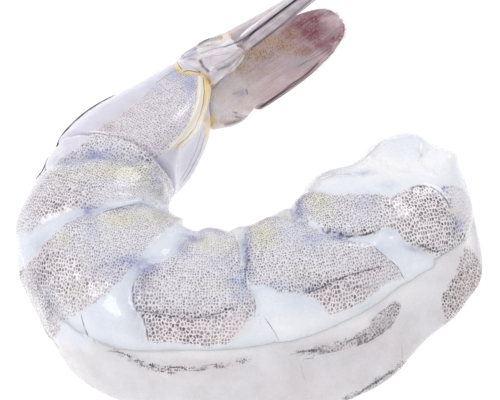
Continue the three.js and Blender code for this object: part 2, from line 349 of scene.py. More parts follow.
SHADE_SPOTS = [
    (144, 284, 9, 24, 1.0), (140, 303, 8, 12, 1.0), (36, 282, 10, 24, 1.0), (46, 256, 10, 12, 0.7),
    (52, 312, 10, 16, 0.7), (247, 258, 5, 24, 0.9), (298, 212, 6, 12, 0.6), (334, 235, 16, 3, 0.8),
    (424, 248, 16, 4, 0.9), (150, 326, 6, 16, 0.7), (88, 212, 12, 6, 0.7), (124, 207, 24, 3, 0.9),
    (184, 245, 6, 12, 0.6), (150, 266, 10, 6, 0.8), (90, 157, 26, 4, 0.6), (452, 225, 8, 16, 0.5),
    (330, 285, 26, 4, 0.6), (200, 317, 40, 3, 0.5), (165, 312, 20, 4, 0.5), (250, 300, 5, 10, 0.4),
]
# Painted light: the white flesh is made whiter where it is most lit, on the neck lumps, along the edges of the lips
# and where the wet white gaps gleam.
PAINTED_LIGHT_SPOTS = [
    (385, 165, 50, 24, 0.9), (430, 165, 36, 24, 0.9), (320, 182, 22, 10, 0.6), (300, 325, 60, 14, 0.7),
    (350, 320, 40, 12, 0.7), (400, 290, 40, 20, 0.6), (190, 352, 60, 7, 0.7), (425, 268, 24, 12, 0.6),
    (270, 305, 14, 10, 0.5), (60, 345, 16, 8, 0.3), (465, 245, 12, 14, 0.5), (160, 245, 16, 8, 0.4),
]
# Painted shade: the white flesh turns darker and bluer where it lies in shade, most at its left edge.
COOL_SHADE_SPOTS = [
    (38, 245, 26, 20, 0.9), (112, 324, 24, 14, 0.35), (160, 245, 20, 12, 0.5), (120, 300, 14, 12, 0.4),
    (385, 250, 16, 10, 0.4), (60, 225, 16, 10, 0.5), (290, 300, 30, 8, 0.3),
]
# The surface of the spread half takes its duller tone round the left end of the cut as well.
DULL_END = [(36, 318), (52, 338), (70, 349), (98, 353), (98, 410), (20, 410), (20, 330)]
# The shell's clear front edge lies over the flesh of the fifth segment.
FILM_ON_FLESH = [
    (30, 182), (46, 168), (58, 160), (70, 154), (84, 149), (97, 151), (110, 152), (130, 152), (150, 152),
    (165, 156), (170, 120), (40, 110), (20, 160),
]
print("tints:", len(BLUE_SPOTS), "blue,", len(YELLOW_SPOTS), "yellow,", len(PINK_SPOTS), "pink")

# %% [markdown]
# Thin dark lines mark creases, and some borders of the patches are dark as well. A crease is stored as a
# signed distance, so that the shader can draw it thinner than a face of the mesh.

# %% Dark lines
# Each line has its strength, its half width in pixels and its points.
DARK_LINES = [
    (1.0, 0.9, [(302, 293), (313, 291), (323, 287), (333, 282), (347, 276), (360, 272), (372, 269), (383, 266)]),
    (0.9, 0.6, [(374, 247), (383, 255), (390, 261), (397, 268), (402, 278)]),
    (0.9, 0.5, [(264, 317), (270, 325), (278, 338)]),
    (0.8, 0.6, [(80, 313), (84, 326), (91, 337), (96, 343)]),
    (0.8, 0.8, [(138, 311), (150, 312), (165, 315), (185, 319), (205, 317), (220, 313), (238, 305)]),
    (1.0, 1.1, [(101, 212), (112, 210), (124, 206), (136, 202), (143, 202), (150, 205)]),
    (1.0, 1.1, [(409, 189), (416, 187), (424, 186), (433, 188), (440, 193), (446, 201), (450, 209)]),
    (1.0, 1.0, [(321, 227), (324, 231), (330, 233), (338, 233), (346, 236), (354, 235), (366, 234), (377, 231)]),
    (0.7, 0.7, [(321, 227), (327, 228), (332, 232)]),
    (0.9, 0.9, [(416, 243), (424, 247), (433, 251), (441, 250)]),
    (0.9, 1.0, [(24, 268), (21, 280), (23, 292), (29, 303), (37, 315), (45, 328), (53, 340), (60, 349)]),
    (0.9, 1.2, [(134, 281), (132, 290), (133, 302), (137, 311), (143, 318), (146, 328), (149, 341)]),
    (0.6, 0.8, [(247, 247), (248, 262), (245, 272), (246, 283)]),
    (0.8, 0.8, [(254, 297), (256, 306), (254, 316)]),
    (1.0, 0.7, [(107, 351), (120, 352), (132, 357), (145, 363), (160, 367), (178, 367), (200, 366), (232, 362)]),
    (0.8, 0.5, [(128, 359), (142, 365.5), (155, 370), (170, 372.5), (190, 370.5), (212, 369), (232, 365.5)]),
    (1.0, 0.7, [(290, 355), (303, 351), (318, 349), (331, 346), (344, 342), (358, 338), (369, 333)]),
    (0.9, 0.6, [(300, 356), (320, 354), (340, 350), (356, 346), (370, 340.5), (382, 333), (391, 325), (396, 316)]),
    (0.6, 0.5, [(372, 322), (380, 312), (388, 306), (398, 303)]),
    (0.9, 0.8, [(443, 330), (436, 336), (426, 342)]),
    (0.9, 1.2, [(396, 369), (384, 376), (370, 386), (357, 394), (343, 401)]),
    (0.5, 0.5, [(402, 345), (402, 352), (402, 360)]),
    (0.5, 0.5, [(138, 157), (146, 160), (153, 166), (158, 173), (160, 180)]),
    (0.3, 0.5, [(300, 362), (302, 372), (306, 382)]),
]


NO_LINE = 50.0  # half widths, where no line is near
LINE_ENDS = (-0.02, 0.08)  # a line fades in over this share of its length, and out again
LINE_REACH = (4, 6)  # pixels over which its strength fades beside it
WIDEST = 8  # half widths, the largest distance that is stored


def dark_lines_at(xy, lines):
    """The signed distance to the nearest dark line over its half width, and how strong the line is there."""
    nearest = np.full(len(xy), NO_LINE)
    strength = np.zeros(len(xy))
    for power, half, line in lines:
        signed, along = line_distance(xy, line)
        closer = np.abs(signed) < np.abs(nearest) * 0.98
        ends = smooth(along, *LINE_ENDS) * smooth(1 - along, *LINE_ENDS)
        near = 1 - smooth(np.abs(signed), *LINE_REACH)
        strength = np.where(closer, power * ends * near, strength)
        nearest = np.where(closer, signed / half, nearest)
    return np.clip(nearest, -WIDEST, WIDEST), strength


print("dark lines:", len(DARK_LINES))

# %% [markdown]
# The body bends in plan like the letter C. Two lines of points follow its belly and its back. They tell for
# each vertex how deep it lies between the two, which keeps the pigment off the pale belly.

# %% Belly and back
BELLY_LINE = np.array([
    (29.4, 6.2), (26.2, 9.4), (19.2, 9.6), (11.3, 4.4), (6.8, -2.6), (3.0, -6.0), (-1.0, -8.4), (-5.1, -8.9),
    (-9.1, -8.3), (-10.9, -6.2), (-12.0, -3.4), (-12.2, -0.4), (-11.6, 2.0), (-9.9, 6.5), (-7.9, 11.2),
    (-6.0, 18.6),
]) * MM + AIM[:2]
BACK_LINE = np.array([
    (32.6, 1.0), (33.2, -2.6), (32.6, -8.4), (28.0, -13.4), (21.9, -18.5), (13.4, -24.7), (3.5, -28.8),
    (-8.4, -29.8), (-21.6, -28.8), (-30.0, -19.2), (-35.0, -9.2), (-32.9, -0.4), (-31.0, 7.0), (-27.0, 14.1),
    (-19.7, 20.1), (-9.9, 28.6),
]) * MM + AIM[:2]
MIDDLE_HEIGHT = 9.3 * MM


def back_share(points):
    """From 0 at the belly to 1 at the back."""
    to_belly = np.abs(line_distance(points[:, :2], BELLY_LINE)[0])
    to_back = np.abs(line_distance(points[:, :2], BACK_LINE)[0])
    return to_belly / (to_belly + to_back)


print("middle of the body:", back_share(np.array([(BELLY_LINE[6] + BACK_LINE[6]) / 2])).round(2))

# %% [markdown]
# A new piece that follows a solid of the model starts as a copy of its mesh. The model's mesh is loose
# triangles, so the copy is merged and its triangles are joined into four-sided faces first. Subdivision
# then gives it a smooth surface with enough vertices for the relief.

# %% Copy a node and refine it
MERGE = 0.002 * MM  # points closer than this become one
QUAD_ANGLE = math.radians(60)  # triangles that differ by less become one face


def refined_copy(node, name):
    source = frame["nodes"][node]
    piece = bpy.data.objects.new(name, source.data.copy())
    bpy.context.scene.collection.objects.link(piece)
    piece.data.name = name
    piece.data.materials.clear()
    choose(piece)
    bpy.ops.object.mode_set(mode="EDIT")
    bpy.ops.mesh.select_all(action="SELECT")
    bpy.ops.mesh.remove_doubles(threshold=MERGE)
    bpy.ops.mesh.tris_convert_to_quads(face_threshold=QUAD_ANGLE, shape_threshold=QUAD_ANGLE)
    bpy.ops.object.mode_set(mode="OBJECT")
    if "custom_normal" in piece.data.attributes:
        piece.data.attributes.remove(piece.data.attributes["custom_normal"])
    while piece.data.uv_layers:
        piece.data.uv_layers.remove(piece.data.uv_layers[0])
    print(name, "starts with", len(piece.data.vertices), "vertices,", len(piece.data.polygons), "faces")
    return piece


def subdivide(piece, levels):
    choose(piece)
    bpy.ops.object.modifier_add(type="SUBSURF")
    modifier = piece.modifiers[-1]
    modifier.levels = levels
    modifier.render_levels = levels
    bpy.ops.object.modifier_apply(modifier=modifier.name)
    piece.data.shade_smooth()
    print(piece.name, "has", len(piece.data.vertices), "vertices")


print("nodes to copy:", len(frame["nodes"]))


# %% Read and move the points of a piece
def vectors_of(piece, what):
    values = np.zeros(len(piece.data.vertices) * 3)
    piece.data.vertices.foreach_get(what, values)
    return values.reshape(-1, 3)


def points_of(piece):
    return vectors_of(piece, "co")


def normals_of(piece):
    return vectors_of(piece, "normal")


def node_points(node):
    return np.array([vertex.co[:] for vertex in frame["nodes"][node].data.vertices])


def move_points(piece, points):
    piece.data.vertices.foreach_set("co", points.ravel())
    piece.data.update()


def move_out(piece, swell):
    """Moves each point along its normal, by a number of millimetres for each."""
    move_points(piece, points_of(piece) + normals_of(piece) * (swell * MM)[:, None])


def store(piece, name, values):
    """Keeps one number for each vertex under a name, for the shader to read."""
    attribute = piece.data.attributes.new(name, "FLOAT", "POINT")
    attribute.data.foreach_set("value", values.astype(np.float32))


def rides(piece, nodes):
    """Attaches the piece to the root body and hides the nodes that it stands for."""
    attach(piece, "root")
    if nodes:
        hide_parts(*nodes)


print("flesh node:", len(node_points("flesh")), "points")

# %% [markdown]
# The dots follow the skin, so the flesh gets a map of its own, in millimetres. It is cut open along the
# underside and round both ends and laid out flat. The rows of the mesh are found by counting steps from the
# neck, and the cut goes from row to row along the hidden side.

# %% Lay the skin out flat
UNWRAP_ROUNDS = 40
MAP_MARGIN = 0.01  # of the map's width, left between its parts
IN_SIGHT = 0.3  # a face that turns to the camera at least this much counts for the scale


def lay_flat(piece, starts, seen):
    """Unwraps a tube with closed ends. Each start has its lowest score where a cut along the tube begins."""
    mesh = piece.data
    links = [set() for _ in mesh.vertices]
    for edge in mesh.edges:
        a, b = edge.vertices
        links[a].add(b)
        links[b].add(a)
    poles = sorted(range(len(links)), key=lambda i: -len(links[i]))[:2]
    first = max(poles, key=lambda i: mesh.vertices[i].co.x)
    rows = {first: 0}
    ring = [first]
    while ring:
        following = sorted({n for v in ring for n in links[v]} - rows.keys())
        rows.update({n: rows[ring[0]] + 1 for n in following})
        ring = following
    last = max(rows.values())
    steps = set()
    for score in starts:
        at = min((v for v in rows if rows[v] == 1), key=lambda v: score[v])
        while rows[at] < last - 1:
            following = min((n for n in links[at] if rows[n] == rows[at] + 1), key=lambda v: score[v])
            steps.add(frozenset((at, following)))
            at = following
    for edge in mesh.edges:
        a, b = edge.vertices
        ends = rows[a] == rows[b] and rows[a] in (1, last - 1)
        edge.use_seam = ends or frozenset((a, b)) in steps
    choose(piece)
    bpy.ops.object.mode_set(mode="EDIT")
    bpy.ops.mesh.select_all(action="SELECT")
    bpy.ops.uv.unwrap(method="MINIMUM_STRETCH", iterations=UNWRAP_ROUNDS, margin=MAP_MARGIN)
    bpy.ops.object.mode_set(mode="OBJECT")
    mesh.uv_layers.active.name = "skin"
    flat = np.zeros(len(mesh.loops) * 2)
    mesh.uv_layers.active.data.foreach_get("uv", flat)
    flat = flat.reshape(-1, 2)
    ratios = []
    for face in mesh.polygons:
        x, y = flat[face.loop_start:face.loop_start + face.loop_total].T
        area = abs(np.dot(x, np.roll(y, 1)) - np.dot(y, np.roll(x, 1))) / 2
        if np.mean([seen[v] for v in face.vertices]) > IN_SIGHT and area > 0:
            ratios.append(face.area / MM ** 2 / area)
    mesh.uv_layers.active.data.foreach_set("uv", (flat * math.sqrt(np.median(ratios))).ravel())
    spread = np.sqrt(np.percentile(ratios, (5, 95)) / np.median(ratios))
    print(piece.name, "rows:", last, "scale of the map varies", spread.round(2))


print("the map is made in", UNWRAP_ROUNDS, "rounds")

# %% [markdown]
# The model keeps the cut open, so that its solid has a clear slit. On the real prawn the upper lip rests on
# the lower one. So the top of the lower lip is lifted until they touch, and slopes off outside the cut.

# %% Close the cut
LIP_GAP = 4.0  # mm, the widest gap at the mouth of the cut
LIP_SLOPE = 5.2  # mm over which the lift fades outside the lip
LIP_OVERLAP = 0.3  # mm by which the lips press into each other
LIP_ROUND, LIP_STEEP = 1.5, 1.7  # mm inside the lip where it begins to round up, and how steeply
FACING_UP = (-0.1, 0.35)  # only what faces up rises, from not at all to fully
CUT_DEPTH = (0.4, 0.52)  # the same from the belly towards the back
TAIL_FADE = (30, 34)  # mm from the middle towards the tail, where the cut ends
NECK_FADE = (30.5, 33.5)  # mm towards the neck, where it stays a little open
NECK_OPEN = 0.75


def close_cut(points, normals):
    below = MIDDLE_HEIGHT / MM - points[:, 2] / MM
    outside = line_distance(points[:, :2], BACK_LINE)[0] / MM
    under_lip = 2 * below + LIP_OVERLAP + LIP_STEEP * np.clip(outside + LIP_ROUND, 0, LIP_ROUND)
    lift = np.minimum(under_lip, LIP_GAP * (1 - smooth(outside, 0, LIP_SLOPE)))
    weight = smooth(normals[:, 2], *FACING_UP) * smooth(back_share(points), *CUT_DEPTH) * (below > 0)
    weight *= 1 - smooth(-points[:, 0] / MM, *TAIL_FADE)
    weight *= 1 - NECK_OPEN * smooth(points[:, 0] / MM, *NECK_FADE)
    return points + np.outer(np.clip(lift, 0, None) * weight * MM, (0, 0, 1))


print("the lower lip rises by up to", LIP_GAP, "mm")

# %% [markdown]
# The flesh replaces its solid. The map is made on the coarse copy, where it is quick, and the subdivision
# keeps it. The copy has its cut closed while the map is made, so that the dots don't stretch on the lip.

# %% Flesh, first form
SEAM_HEIGHT = 1.0  # mm, of the seam of the map under the belly
SEAM_SHARE = 0.15  # and how far it lies from the belly towards the back
STRAY = 12  # mm of height that straying from belly to back counts for

flesh = refined_copy("flesh", "peeled_flesh")
coarse = points_of(flesh)
under_belly = np.abs(coarse[:, 2] / MM - SEAM_HEIGHT) + STRAY * np.abs(back_share(coarse) - SEAM_SHARE)
slit = np.abs(coarse[:, 2] - MIDDLE_HEIGHT) / MM + STRAY * np.abs(back_share(coarse) - 1.0)
move_points(flesh, close_cut(coarse, normals_of(flesh)))
lay_flat(flesh, [under_belly, slit], normals_of(flesh) @ TO_CAMERA)
move_points(flesh, coarse)
subdivide(flesh, 2)

# %% [markdown]
# Now the cut is closed on the fine mesh for good. The places of the open cut are kept as well, because they
# tell the upper half from the lower one.

# %% The cut closed
open_points = points_of(flesh)
flesh_points = close_cut(open_points, normals_of(flesh))
print("the cut closes by up to", round(float((flesh_points - open_points).max() / MM), 2), "mm")
move_points(flesh, flesh_points)
flesh_normals = normals_of(flesh)
flesh_xy = photo_xy(flesh_points)

# %% [markdown]
# The cut parts the flesh into the left half on top and the right half spread under it, and they meet at one
# height. So a patch of the upper half ends there, except towards the tail, where the body is whole.

# %% Which half, and which side
PIXELS_PER_METRE = PIXELS_PER_MM / MM
WHOLE_FROM, WHOLE_WITHIN = 21 * MM, 5 * MM  # from the middle towards the tail, where the body becomes whole
HALVES_OVERLAP = 0.3 * MM
DEEPEST = 60  # pixels, more than any patch is deep
TURN = 10  # pixels that a patch loses from facing the camera to facing sideways
PALE_BELLY = (0.25, 0.45)  # from the belly to the back, where the pigment begins

above = (open_points[:, 2] - MIDDLE_HEIGHT + HALVES_OVERLAP) * PIXELS_PER_METRE
whole = smooth(-flesh_points[:, 0], WHOLE_FROM, WHOLE_FROM + WHOLE_WITHIN)
upper_limit = above + DEEPEST * whole
lower_limit = -above - DEEPEST * whole
to_back = back_share(open_points)
facing = flesh_normals @ TO_CAMERA
belly_limit = TURN * (facing + 0.15) + DEEPEST * smooth(to_back, *PALE_BELLY)
upper_depth = np.max([patch_depth(flesh_xy, patch) for patch in UPPER_PATCHES], axis=0)
pale_depth = patch_depth(flesh_xy, PATCH_PALE)
lower_depth = np.max([patch_depth(flesh_xy, patch) for patch in LOWER_PATCHES], axis=0)
upper_skin = np.min([upper_depth, upper_limit, belly_limit], axis=0)
pale_skin = np.min([pale_depth, upper_limit], axis=0)
lower_skin = np.min([lower_depth + 1.3, lower_limit, TURN * (facing + 0.6)], axis=0)
skin = np.max([upper_skin, pale_skin, lower_skin], axis=0)
print("skin covers", round(float((skin > 0).mean()), 2), "of the flesh")

# %% [markdown]
# Relief of the flesh: the patches stand up a little, joints and creases are pressed in, and loose lumps of
# muscle swell out at the neck. Small waves give the wet surface its broken gleam.

# %% Grooves and lumps
# Each groove is its depth in mm, its half width in pixels and its line. One of negative depth swells.
GROOVES = [
    (0.55, 5, [(20, 235), (44, 222), (66, 211), (80, 207), (96, 207), (110, 203), (124, 200), (140, 199),
               (170, 208)]),
    (0.5, 4, [(30, 176), (55, 164), (75, 160), (97, 154), (120, 158), (138, 162), (152, 168), (162, 180),
              (166, 196)]),
    (0.55, 5, [(183, 236), (174, 249), (160, 260), (141, 265), (132, 277), (128, 290), (128, 303), (138, 320),
               (143, 344)]),
    (0.6, 4, [(241, 228), (241, 245), (243, 262), (240, 273), (247, 289), (256, 298), (259, 314)]),
    (0.5, 4, [(290, 200), (293, 218), (303, 223), (318, 229), (333, 237), (352, 238), (368, 237), (380, 232)]),
    (0.4, 5, [(384, 230), (398, 235), (408, 246), (420, 252), (436, 259), (452, 251), (466, 243)]),
    (0.25, 2.5, [(302, 294), (323, 288), (347, 277), (383, 267)]),
    (0.25, 2.5, [(138, 312), (165, 316), (205, 318), (238, 306)]),
    (0.2, 2, [(80, 313), (84, 326), (91, 337), (96, 343)]),
    (0.2, 2, [(264, 317), (270, 325), (278, 338)]),
    (0.3, 3, [(320, 178), (334, 172), (350, 169), (366, 171)]),
    (0.4, 2.5, [(424, 146), (420, 156), (425, 166), (438, 174)]),
    (0.3, 2.5, [(370, 153), (380, 160), (394, 166), (412, 170)]),
    (0.25, 2, [(60, 326), (52, 340), (50, 356)]),
    (0.25, 2, [(72, 350), (62, 362), (64, 378)]),
    # The flesh comes up to the rim of the shell.
    (-0.85, 7, [(56, 142), (74, 140), (95, 140), (112, 143), (127, 150), (141, 160), (151, 172), (158, 184),
                (164, 196)]),
]
# Each lump is x, y, its radius in pixels and how far it swells, in mm.
LUMPS = [
    (398, 146, 20, -0.85), (424, 146, 7, -1.0), (448, 160, 13, 1.4), (325, 186, 20, 0.4), (181, 221, 9, 1.4),
    (197, 236, 7, -0.8), (225, 236, 8, -0.5), (240, 227, 6, 0.6), (305, 190, 10, 0.5), (345, 168, 12, -0.3),
    (160, 255, 9, 0.35), (285, 322, 16, 0.3), (120, 325, 18, 0.3), (405, 268, 12, 0.35), (430, 262, 10, 0.25),
]
print("grooves:", len(GROOVES), "lumps:", len(LUMPS))


# %% Waves and nearness
def waves(points, size, seed):
    """Soft noise from -1 to 1 whose bumps are about size metres across."""
    shift = Vector((seed, seed * 1.7, seed * 2.3))
    return np.array([noise.noise(Vector(p) / size + shift) for p in points])


def distance_to(points, others):
    """How far each point is from the nearest of some other points."""
    tree = kdtree.KDTree(len(others))
    for i, other in enumerate(others):
        tree.insert(other, i)
    tree.balance()
    return np.array([tree.find(point)[2] for point in points])


print("waves at one place:", waves([(0.1, 0.2, 0.3)], 1.0, 1).round(2))

# %% [markdown]
# Where two soft surfaces press on each other, both swell a little, so no gap is seen between them. That holds
# for the lips of the cut, and for the flesh that comes out of the shell on the side away from the camera.

# %% Lips that touch
LIP_SWELL, LIP_REACH = 0.55, 0.8 * MM  # how far a lip swells in mm, and how near the other one has to be
LIP_ENDS = (-33 * MM, 0.5)  # the lips reach this far towards the tail and from the back towards the belly
APART = 9 * MM  # stands for points that have no other lip


def lip_swell():
    """The lips are pressed together, so each swells a little near the other one."""
    top = open_points[:, 2] > MIDDLE_HEIGHT
    apart = np.full(len(flesh_points), APART)
    lips = (to_back > LIP_ENDS[1]) & (flesh_points[:, 0] > LIP_ENDS[0])
    for own in (top, ~top):
        apart[own & lips] = distance_to(flesh_points[own & lips], flesh_points[~own & lips])
    fade = 1 - smooth(-flesh_points[:, 0] / MM, 27, 32)
    fade *= 1 - smooth(flesh_points[:, 0] / MM, 30, 33)
    return LIP_SWELL * np.exp(-(apart / LIP_REACH) ** 2) * fade


lips_swollen = lip_swell()
print("the lips swell by up to", round(float(lips_swollen.max()), 2), "mm")

# %% Relief
SKIN_RISE, BAND_RISE = 0.22, 0.1  # mm by which the skin of the upper and the lower half stands up
GROOVE_ENDS = (-0.03, 0.08)  # a groove runs out over this share of its length
RIM_SWELL, RIM_REACH = 0.7, 0.9 * MM  # the same at the rim of the shell as at the lips
BROAD_WAVES, BROAD_SIZE = 0.16, 3.2 * MM  # height in mm, and size
FINE_WAVES, FINE_SIZE = 0.07, 1.2 * MM
SETTLED = (0.05 * MM, 1.5 * MM)  # what lies on the floor stays flat up to here


def flesh_relief():
    """How far each point of the flesh moves out, in mm."""
    swell = SKIN_RISE * smooth(upper_skin, -2.5, 1.5) + BAND_RISE * smooth(lower_skin, -2, 1)
    upper = smooth(upper_limit, -4, 2)
    for deep, half, line in GROOVES:
        signed, along = line_distance(flesh_xy, line)
        ends = smooth(along, *GROOVE_ENDS) * smooth(1 - along, *GROOVE_ENDS)
        swell -= deep * ends * np.exp(-(signed / half) ** 2) * upper
    for x, y, radius, rise in LUMPS:
        apart = np.hypot(flesh_xy[:, 0] - x, flesh_xy[:, 1] - y) / radius
        swell += rise * np.exp(-apart ** 2) * upper * smooth(facing, -0.7, -0.1)
    to_shell = distance_to(flesh_points, node_points("tail_segment"))
    swell += RIM_SWELL * np.exp(-(to_shell / RIM_REACH) ** 2) * smooth(-facing, -0.1, 0.2)
    swell += lips_swollen
    bare = 1 - 0.5 * smooth(upper_skin, -2, 3)
    swell += BROAD_WAVES * waves(flesh_points, BROAD_SIZE, 1)
    swell += FINE_WAVES * bare * waves(flesh_points, FINE_SIZE, 2)
    return swell * smooth(flesh_points[:, 2], *SETTLED)


move_out(flesh, flesh_relief())
print("relief up to", round(float(np.abs(points_of(flesh) - flesh_points).max() / MM), 2), "mm")

# %% [markdown]
# The shader reads its marks from numbers that every vertex carries. They fade where the surface turns away
# from the picture, since the marks on the hidden sides aren't known.

# %% Numbers for the flesh's shader
SKIN_LIMIT = 12  # pixels, the deepest place in a patch that is stored
CROWD_WIDTH = 4.5  # half widths of a dark line within which the dots crowd and darken
PALE_INK = 0.45  # how much weaker the ink of the pale patch is
AWAY = (-0.5, 0.0)  # from facing away to facing sideways
BLEND = (-4, 4)  # pixels over which the halves of the body go over into each other
DULL_BELOW = 12 * MM  # height of the duller tone at the left end

grain, ink = dots_at(flesh_xy)
ink *= 1 - PALE_INK * smooth(pale_skin, -2, 2)
line_side, line_power = dark_lines_at(flesh_xy, DARK_LINES)
crowd = line_power * np.exp(-(line_side / CROWD_WIDTH) ** 2)
ink += 0.8 * crowd
grain += 0.2 * crowd
seen = smooth(facing, *AWAY)
on_upper, on_lower = smooth(upper_limit, *BLEND), smooth(lower_limit, *BLEND)
dull_end = smooth(patch_depth(flesh_xy, DULL_END), -3, 3) * (flesh_points[:, 2] < DULL_BELOW)
# Painted light and shade are stored here too: the bright spots are painted light, the cool spots painted shade.
for mark, spots, where in (
    ("bright", PAINTED_LIGHT_SPOTS, 1), ("blue", BLUE_SPOTS, on_upper), ("yellow", YELLOW_SPOTS, 1),
    ("pink", PINK_SPOTS, 1), ("cool_shade", COOL_SHADE_SPOTS, 1), ("shade", SHADE_SPOTS, on_upper),
):
    store(flesh, mark, spots_at(flesh_xy, spots) * seen * where)
store(flesh, "skin_depth", np.clip(skin, -SKIN_LIMIT, SKIN_LIMIT))
store(flesh, "grain", grain)
store(flesh, "ink", ink * (0.4 + 0.6 * seen))
store(flesh, "film", smooth(np.minimum(patch_depth(flesh_xy, FILM_ON_FLESH), upper_limit), -1, 2))
store(flesh, "line_side", line_side)
store(flesh, "line_power", line_power * smooth(facing, -0.1, 0.12))
store(flesh, "lower", np.maximum(on_lower, dull_end))
store(flesh, "smudge", smooth(lower_depth, -2.0, 1.5) * on_lower * seen)
print("numbers stored:", len(flesh.data.attributes))

# %% [markdown]
# Shaders are built node by node. A small helper makes one node, sets what is given and links what comes
# from another node.

# %% Helpers for shaders
def give(tree, node, values):
    """Sets inputs of a node, or links them where the value comes from another node."""
    for name, value in values.items():
        if isinstance(value, bpy.types.NodeSocket):
            tree.links.new(value, node.inputs[name])
        else:
            node.inputs[name].default_value = value


def make(tree, kind, values, **settings):
    node = tree.nodes.new(kind)
    for name, value in settings.items():
        setattr(node, name, value)
    give(tree, node, values)
    return node


def maths(tree, operation, first, second=0.0):
    return make(tree, "ShaderNodeMath", {0: first, 1: second}, operation=operation).outputs[0]


def times(tree, first, second):
    return maths(tree, "MULTIPLY", first, second)


def plus(tree, first, second):
    return maths(tree, "ADD", first, second)


def minus(tree, first, second):
    return maths(tree, "SUBTRACT", first, second)


def vector_maths(tree, operation, values):
    return make(tree, "ShaderNodeVectorMath", values, operation=operation).outputs[0]


print("node trees so far:", len(bpy.data.node_groups))


# %% Helpers for ramps, marks, noise and colours
def step(tree, value, low, high, start=0.0, end=1.0):
    """Goes softly from start to end while value goes from low to high."""
    inputs = {"Value": value, "From Min": low, "From Max": high, "To Min": start, "To Max": end}
    return make(tree, "ShaderNodeMapRange", inputs, interpolation_type="SMOOTHSTEP").outputs["Result"]


def mix(tree, share, first, second, blend="MIX"):
    node = make(tree, "ShaderNodeMix", {0: share, 6: first, 7: second}, data_type="RGBA", blend_type=blend)
    return node.outputs[2]


def stored(tree, name):
    return make(tree, "ShaderNodeAttribute", {}, attribute_name=name).outputs["Fac"]


def tint(tree, under, mark, share, tone):
    """Lays a tone over another one where a stored mark is, by a share."""
    return mix(tree, times(tree, stored(tree, mark), share), under, tone)


def clouds(tree, place, scale, detail=2.0):
    return make(tree, "ShaderNodeTexNoise", {"Vector": place, "Scale": scale, "Detail": detail}).outputs["Fac"]


def object_place(tree):
    return make(tree, "ShaderNodeTexCoord", {}).outputs["Object"]


def skin_map(tree):
    return make(tree, "ShaderNodeUVMap", {}, uv_map="skin").outputs["UV"]


def colour(red, green, blue):
    """A colour as picture values from 0 to 255, made linear."""
    return tuple(((v / 255 + 0.055) / 1.055) ** 2.4 for v in (red, green, blue)) + (1.0,)


print("white is", colour(255, 255, 255))


# %% Helpers for materials and groups
def new_material(name):
    material = bpy.data.materials.new(name)
    material.use_nodes = True
    tree = material.node_tree
    return material, tree, tree.nodes["Principled BSDF"]


def new_group(name, inputs, outputs):
    tree = bpy.data.node_groups.new(name, "ShaderNodeTree")
    for direction, sockets in (("INPUT", inputs), ("OUTPUT", outputs)):
        for socket, kind in sockets.items():
            tree.interface.new_socket(name=socket, in_out=direction, socket_type="NodeSocket" + kind)
    return tree, tree.nodes.new("NodeGroupInput").outputs, tree.nodes.new("NodeGroupOutput").inputs


def use_group(tree, group, values):
    return make(tree, "ShaderNodeGroup", values, node_tree=group).outputs


print("materials so far:", len(bpy.data.materials))

# %% [markdown]
# The pigment sits in cells of the skin, so each dot is a dark speck of its own with a pale net between.
# Voronoi cells on the flat map give just that: round specks round the middles of fine cells, and whole
# dark cells with a pale border where the grain is coarse. Noise makes the specks unequal and ragged.

# %% Pigment dots, shared by flesh and shell
PUSH = 0.22  # mm by which the dots are pushed out of their regular places
CELL_SHAPE = (0.86, 1.14, 1.0)  # cells are a little longer along the map's first direction
FINE, WIDE = (2.5, 0.19, 0.36), (2.0, 0.15, 0.44)  # cells for each mm, half net, radius of a dot

dots_group, given, result = new_group("pigment_dots", {"Map": "Vector", "Grain": "Float"}, {"Dots": "Float"})
ragged = make(dots_group, "ShaderNodeTexNoise", {"Vector": given["Map"], "Scale": 2.2, "Detail": 1.0})
shift = vector_maths(dots_group, "SUBTRACT", {0: ragged.outputs["Color"], 1: (0.5, 0.5, 0.5)})
push = vector_maths(dots_group, "SCALE", {0: shift, "Scale": PUSH})
place = vector_maths(dots_group, "ADD", {0: given["Map"], 1: push})
long_cells = make(dots_group, "ShaderNodeMapping", {"Vector": place, "Scale": CELL_SHAPE})
uneven = times(dots_group, minus(dots_group, clouds(dots_group, given["Map"], 0.5, 1.0), 0.5), 0.5)


def cell_layer(tree, scale, net, reach):
    """Round dots, one in each cell, with a pale net between. Each has a size and a darkness of its own."""
    values = {"Vector": long_cells.outputs[0], "Scale": scale, "Randomness": 0.8}
    border = make(tree, "ShaderNodeTexVoronoi", values, voronoi_dimensions="2D", feature="DISTANCE_TO_EDGE")
    cell = make(tree, "ShaderNodeTexVoronoi", values, voronoi_dimensions="2D", feature="F1")
    chance = make(tree, "ShaderNodeSeparateColor", {0: cell.outputs["Color"]}).outputs
    smaller = times(tree, chance[0], 0.14)
    inside = step(tree, minus(tree, border.outputs["Distance"], smaller), 0.02, net)
    round_off = step(tree, plus(tree, cell.outputs["Distance"], smaller), reach, reach + 0.26, 1.0, 0.0)
    dark = plus(tree, times(tree, chance[1], 0.45), 0.55)
    return times(tree, times(tree, inside, round_off), dark)


chosen = step(dots_group, plus(dots_group, given["Grain"], uneven), 0.45, 0.65)
layers = {0: chosen, 2: cell_layer(dots_group, *FINE), 3: cell_layer(dots_group, *WIDE)}
both = make(dots_group, "ShaderNodeMix", layers, data_type="FLOAT")
dots_group.links.new(both.outputs[0], result["Dots"])
print("group:", dots_group.name)

# %% [markdown]
# Everything on the prawn is wet. Low soft bumps under the film of water break up the reflections.

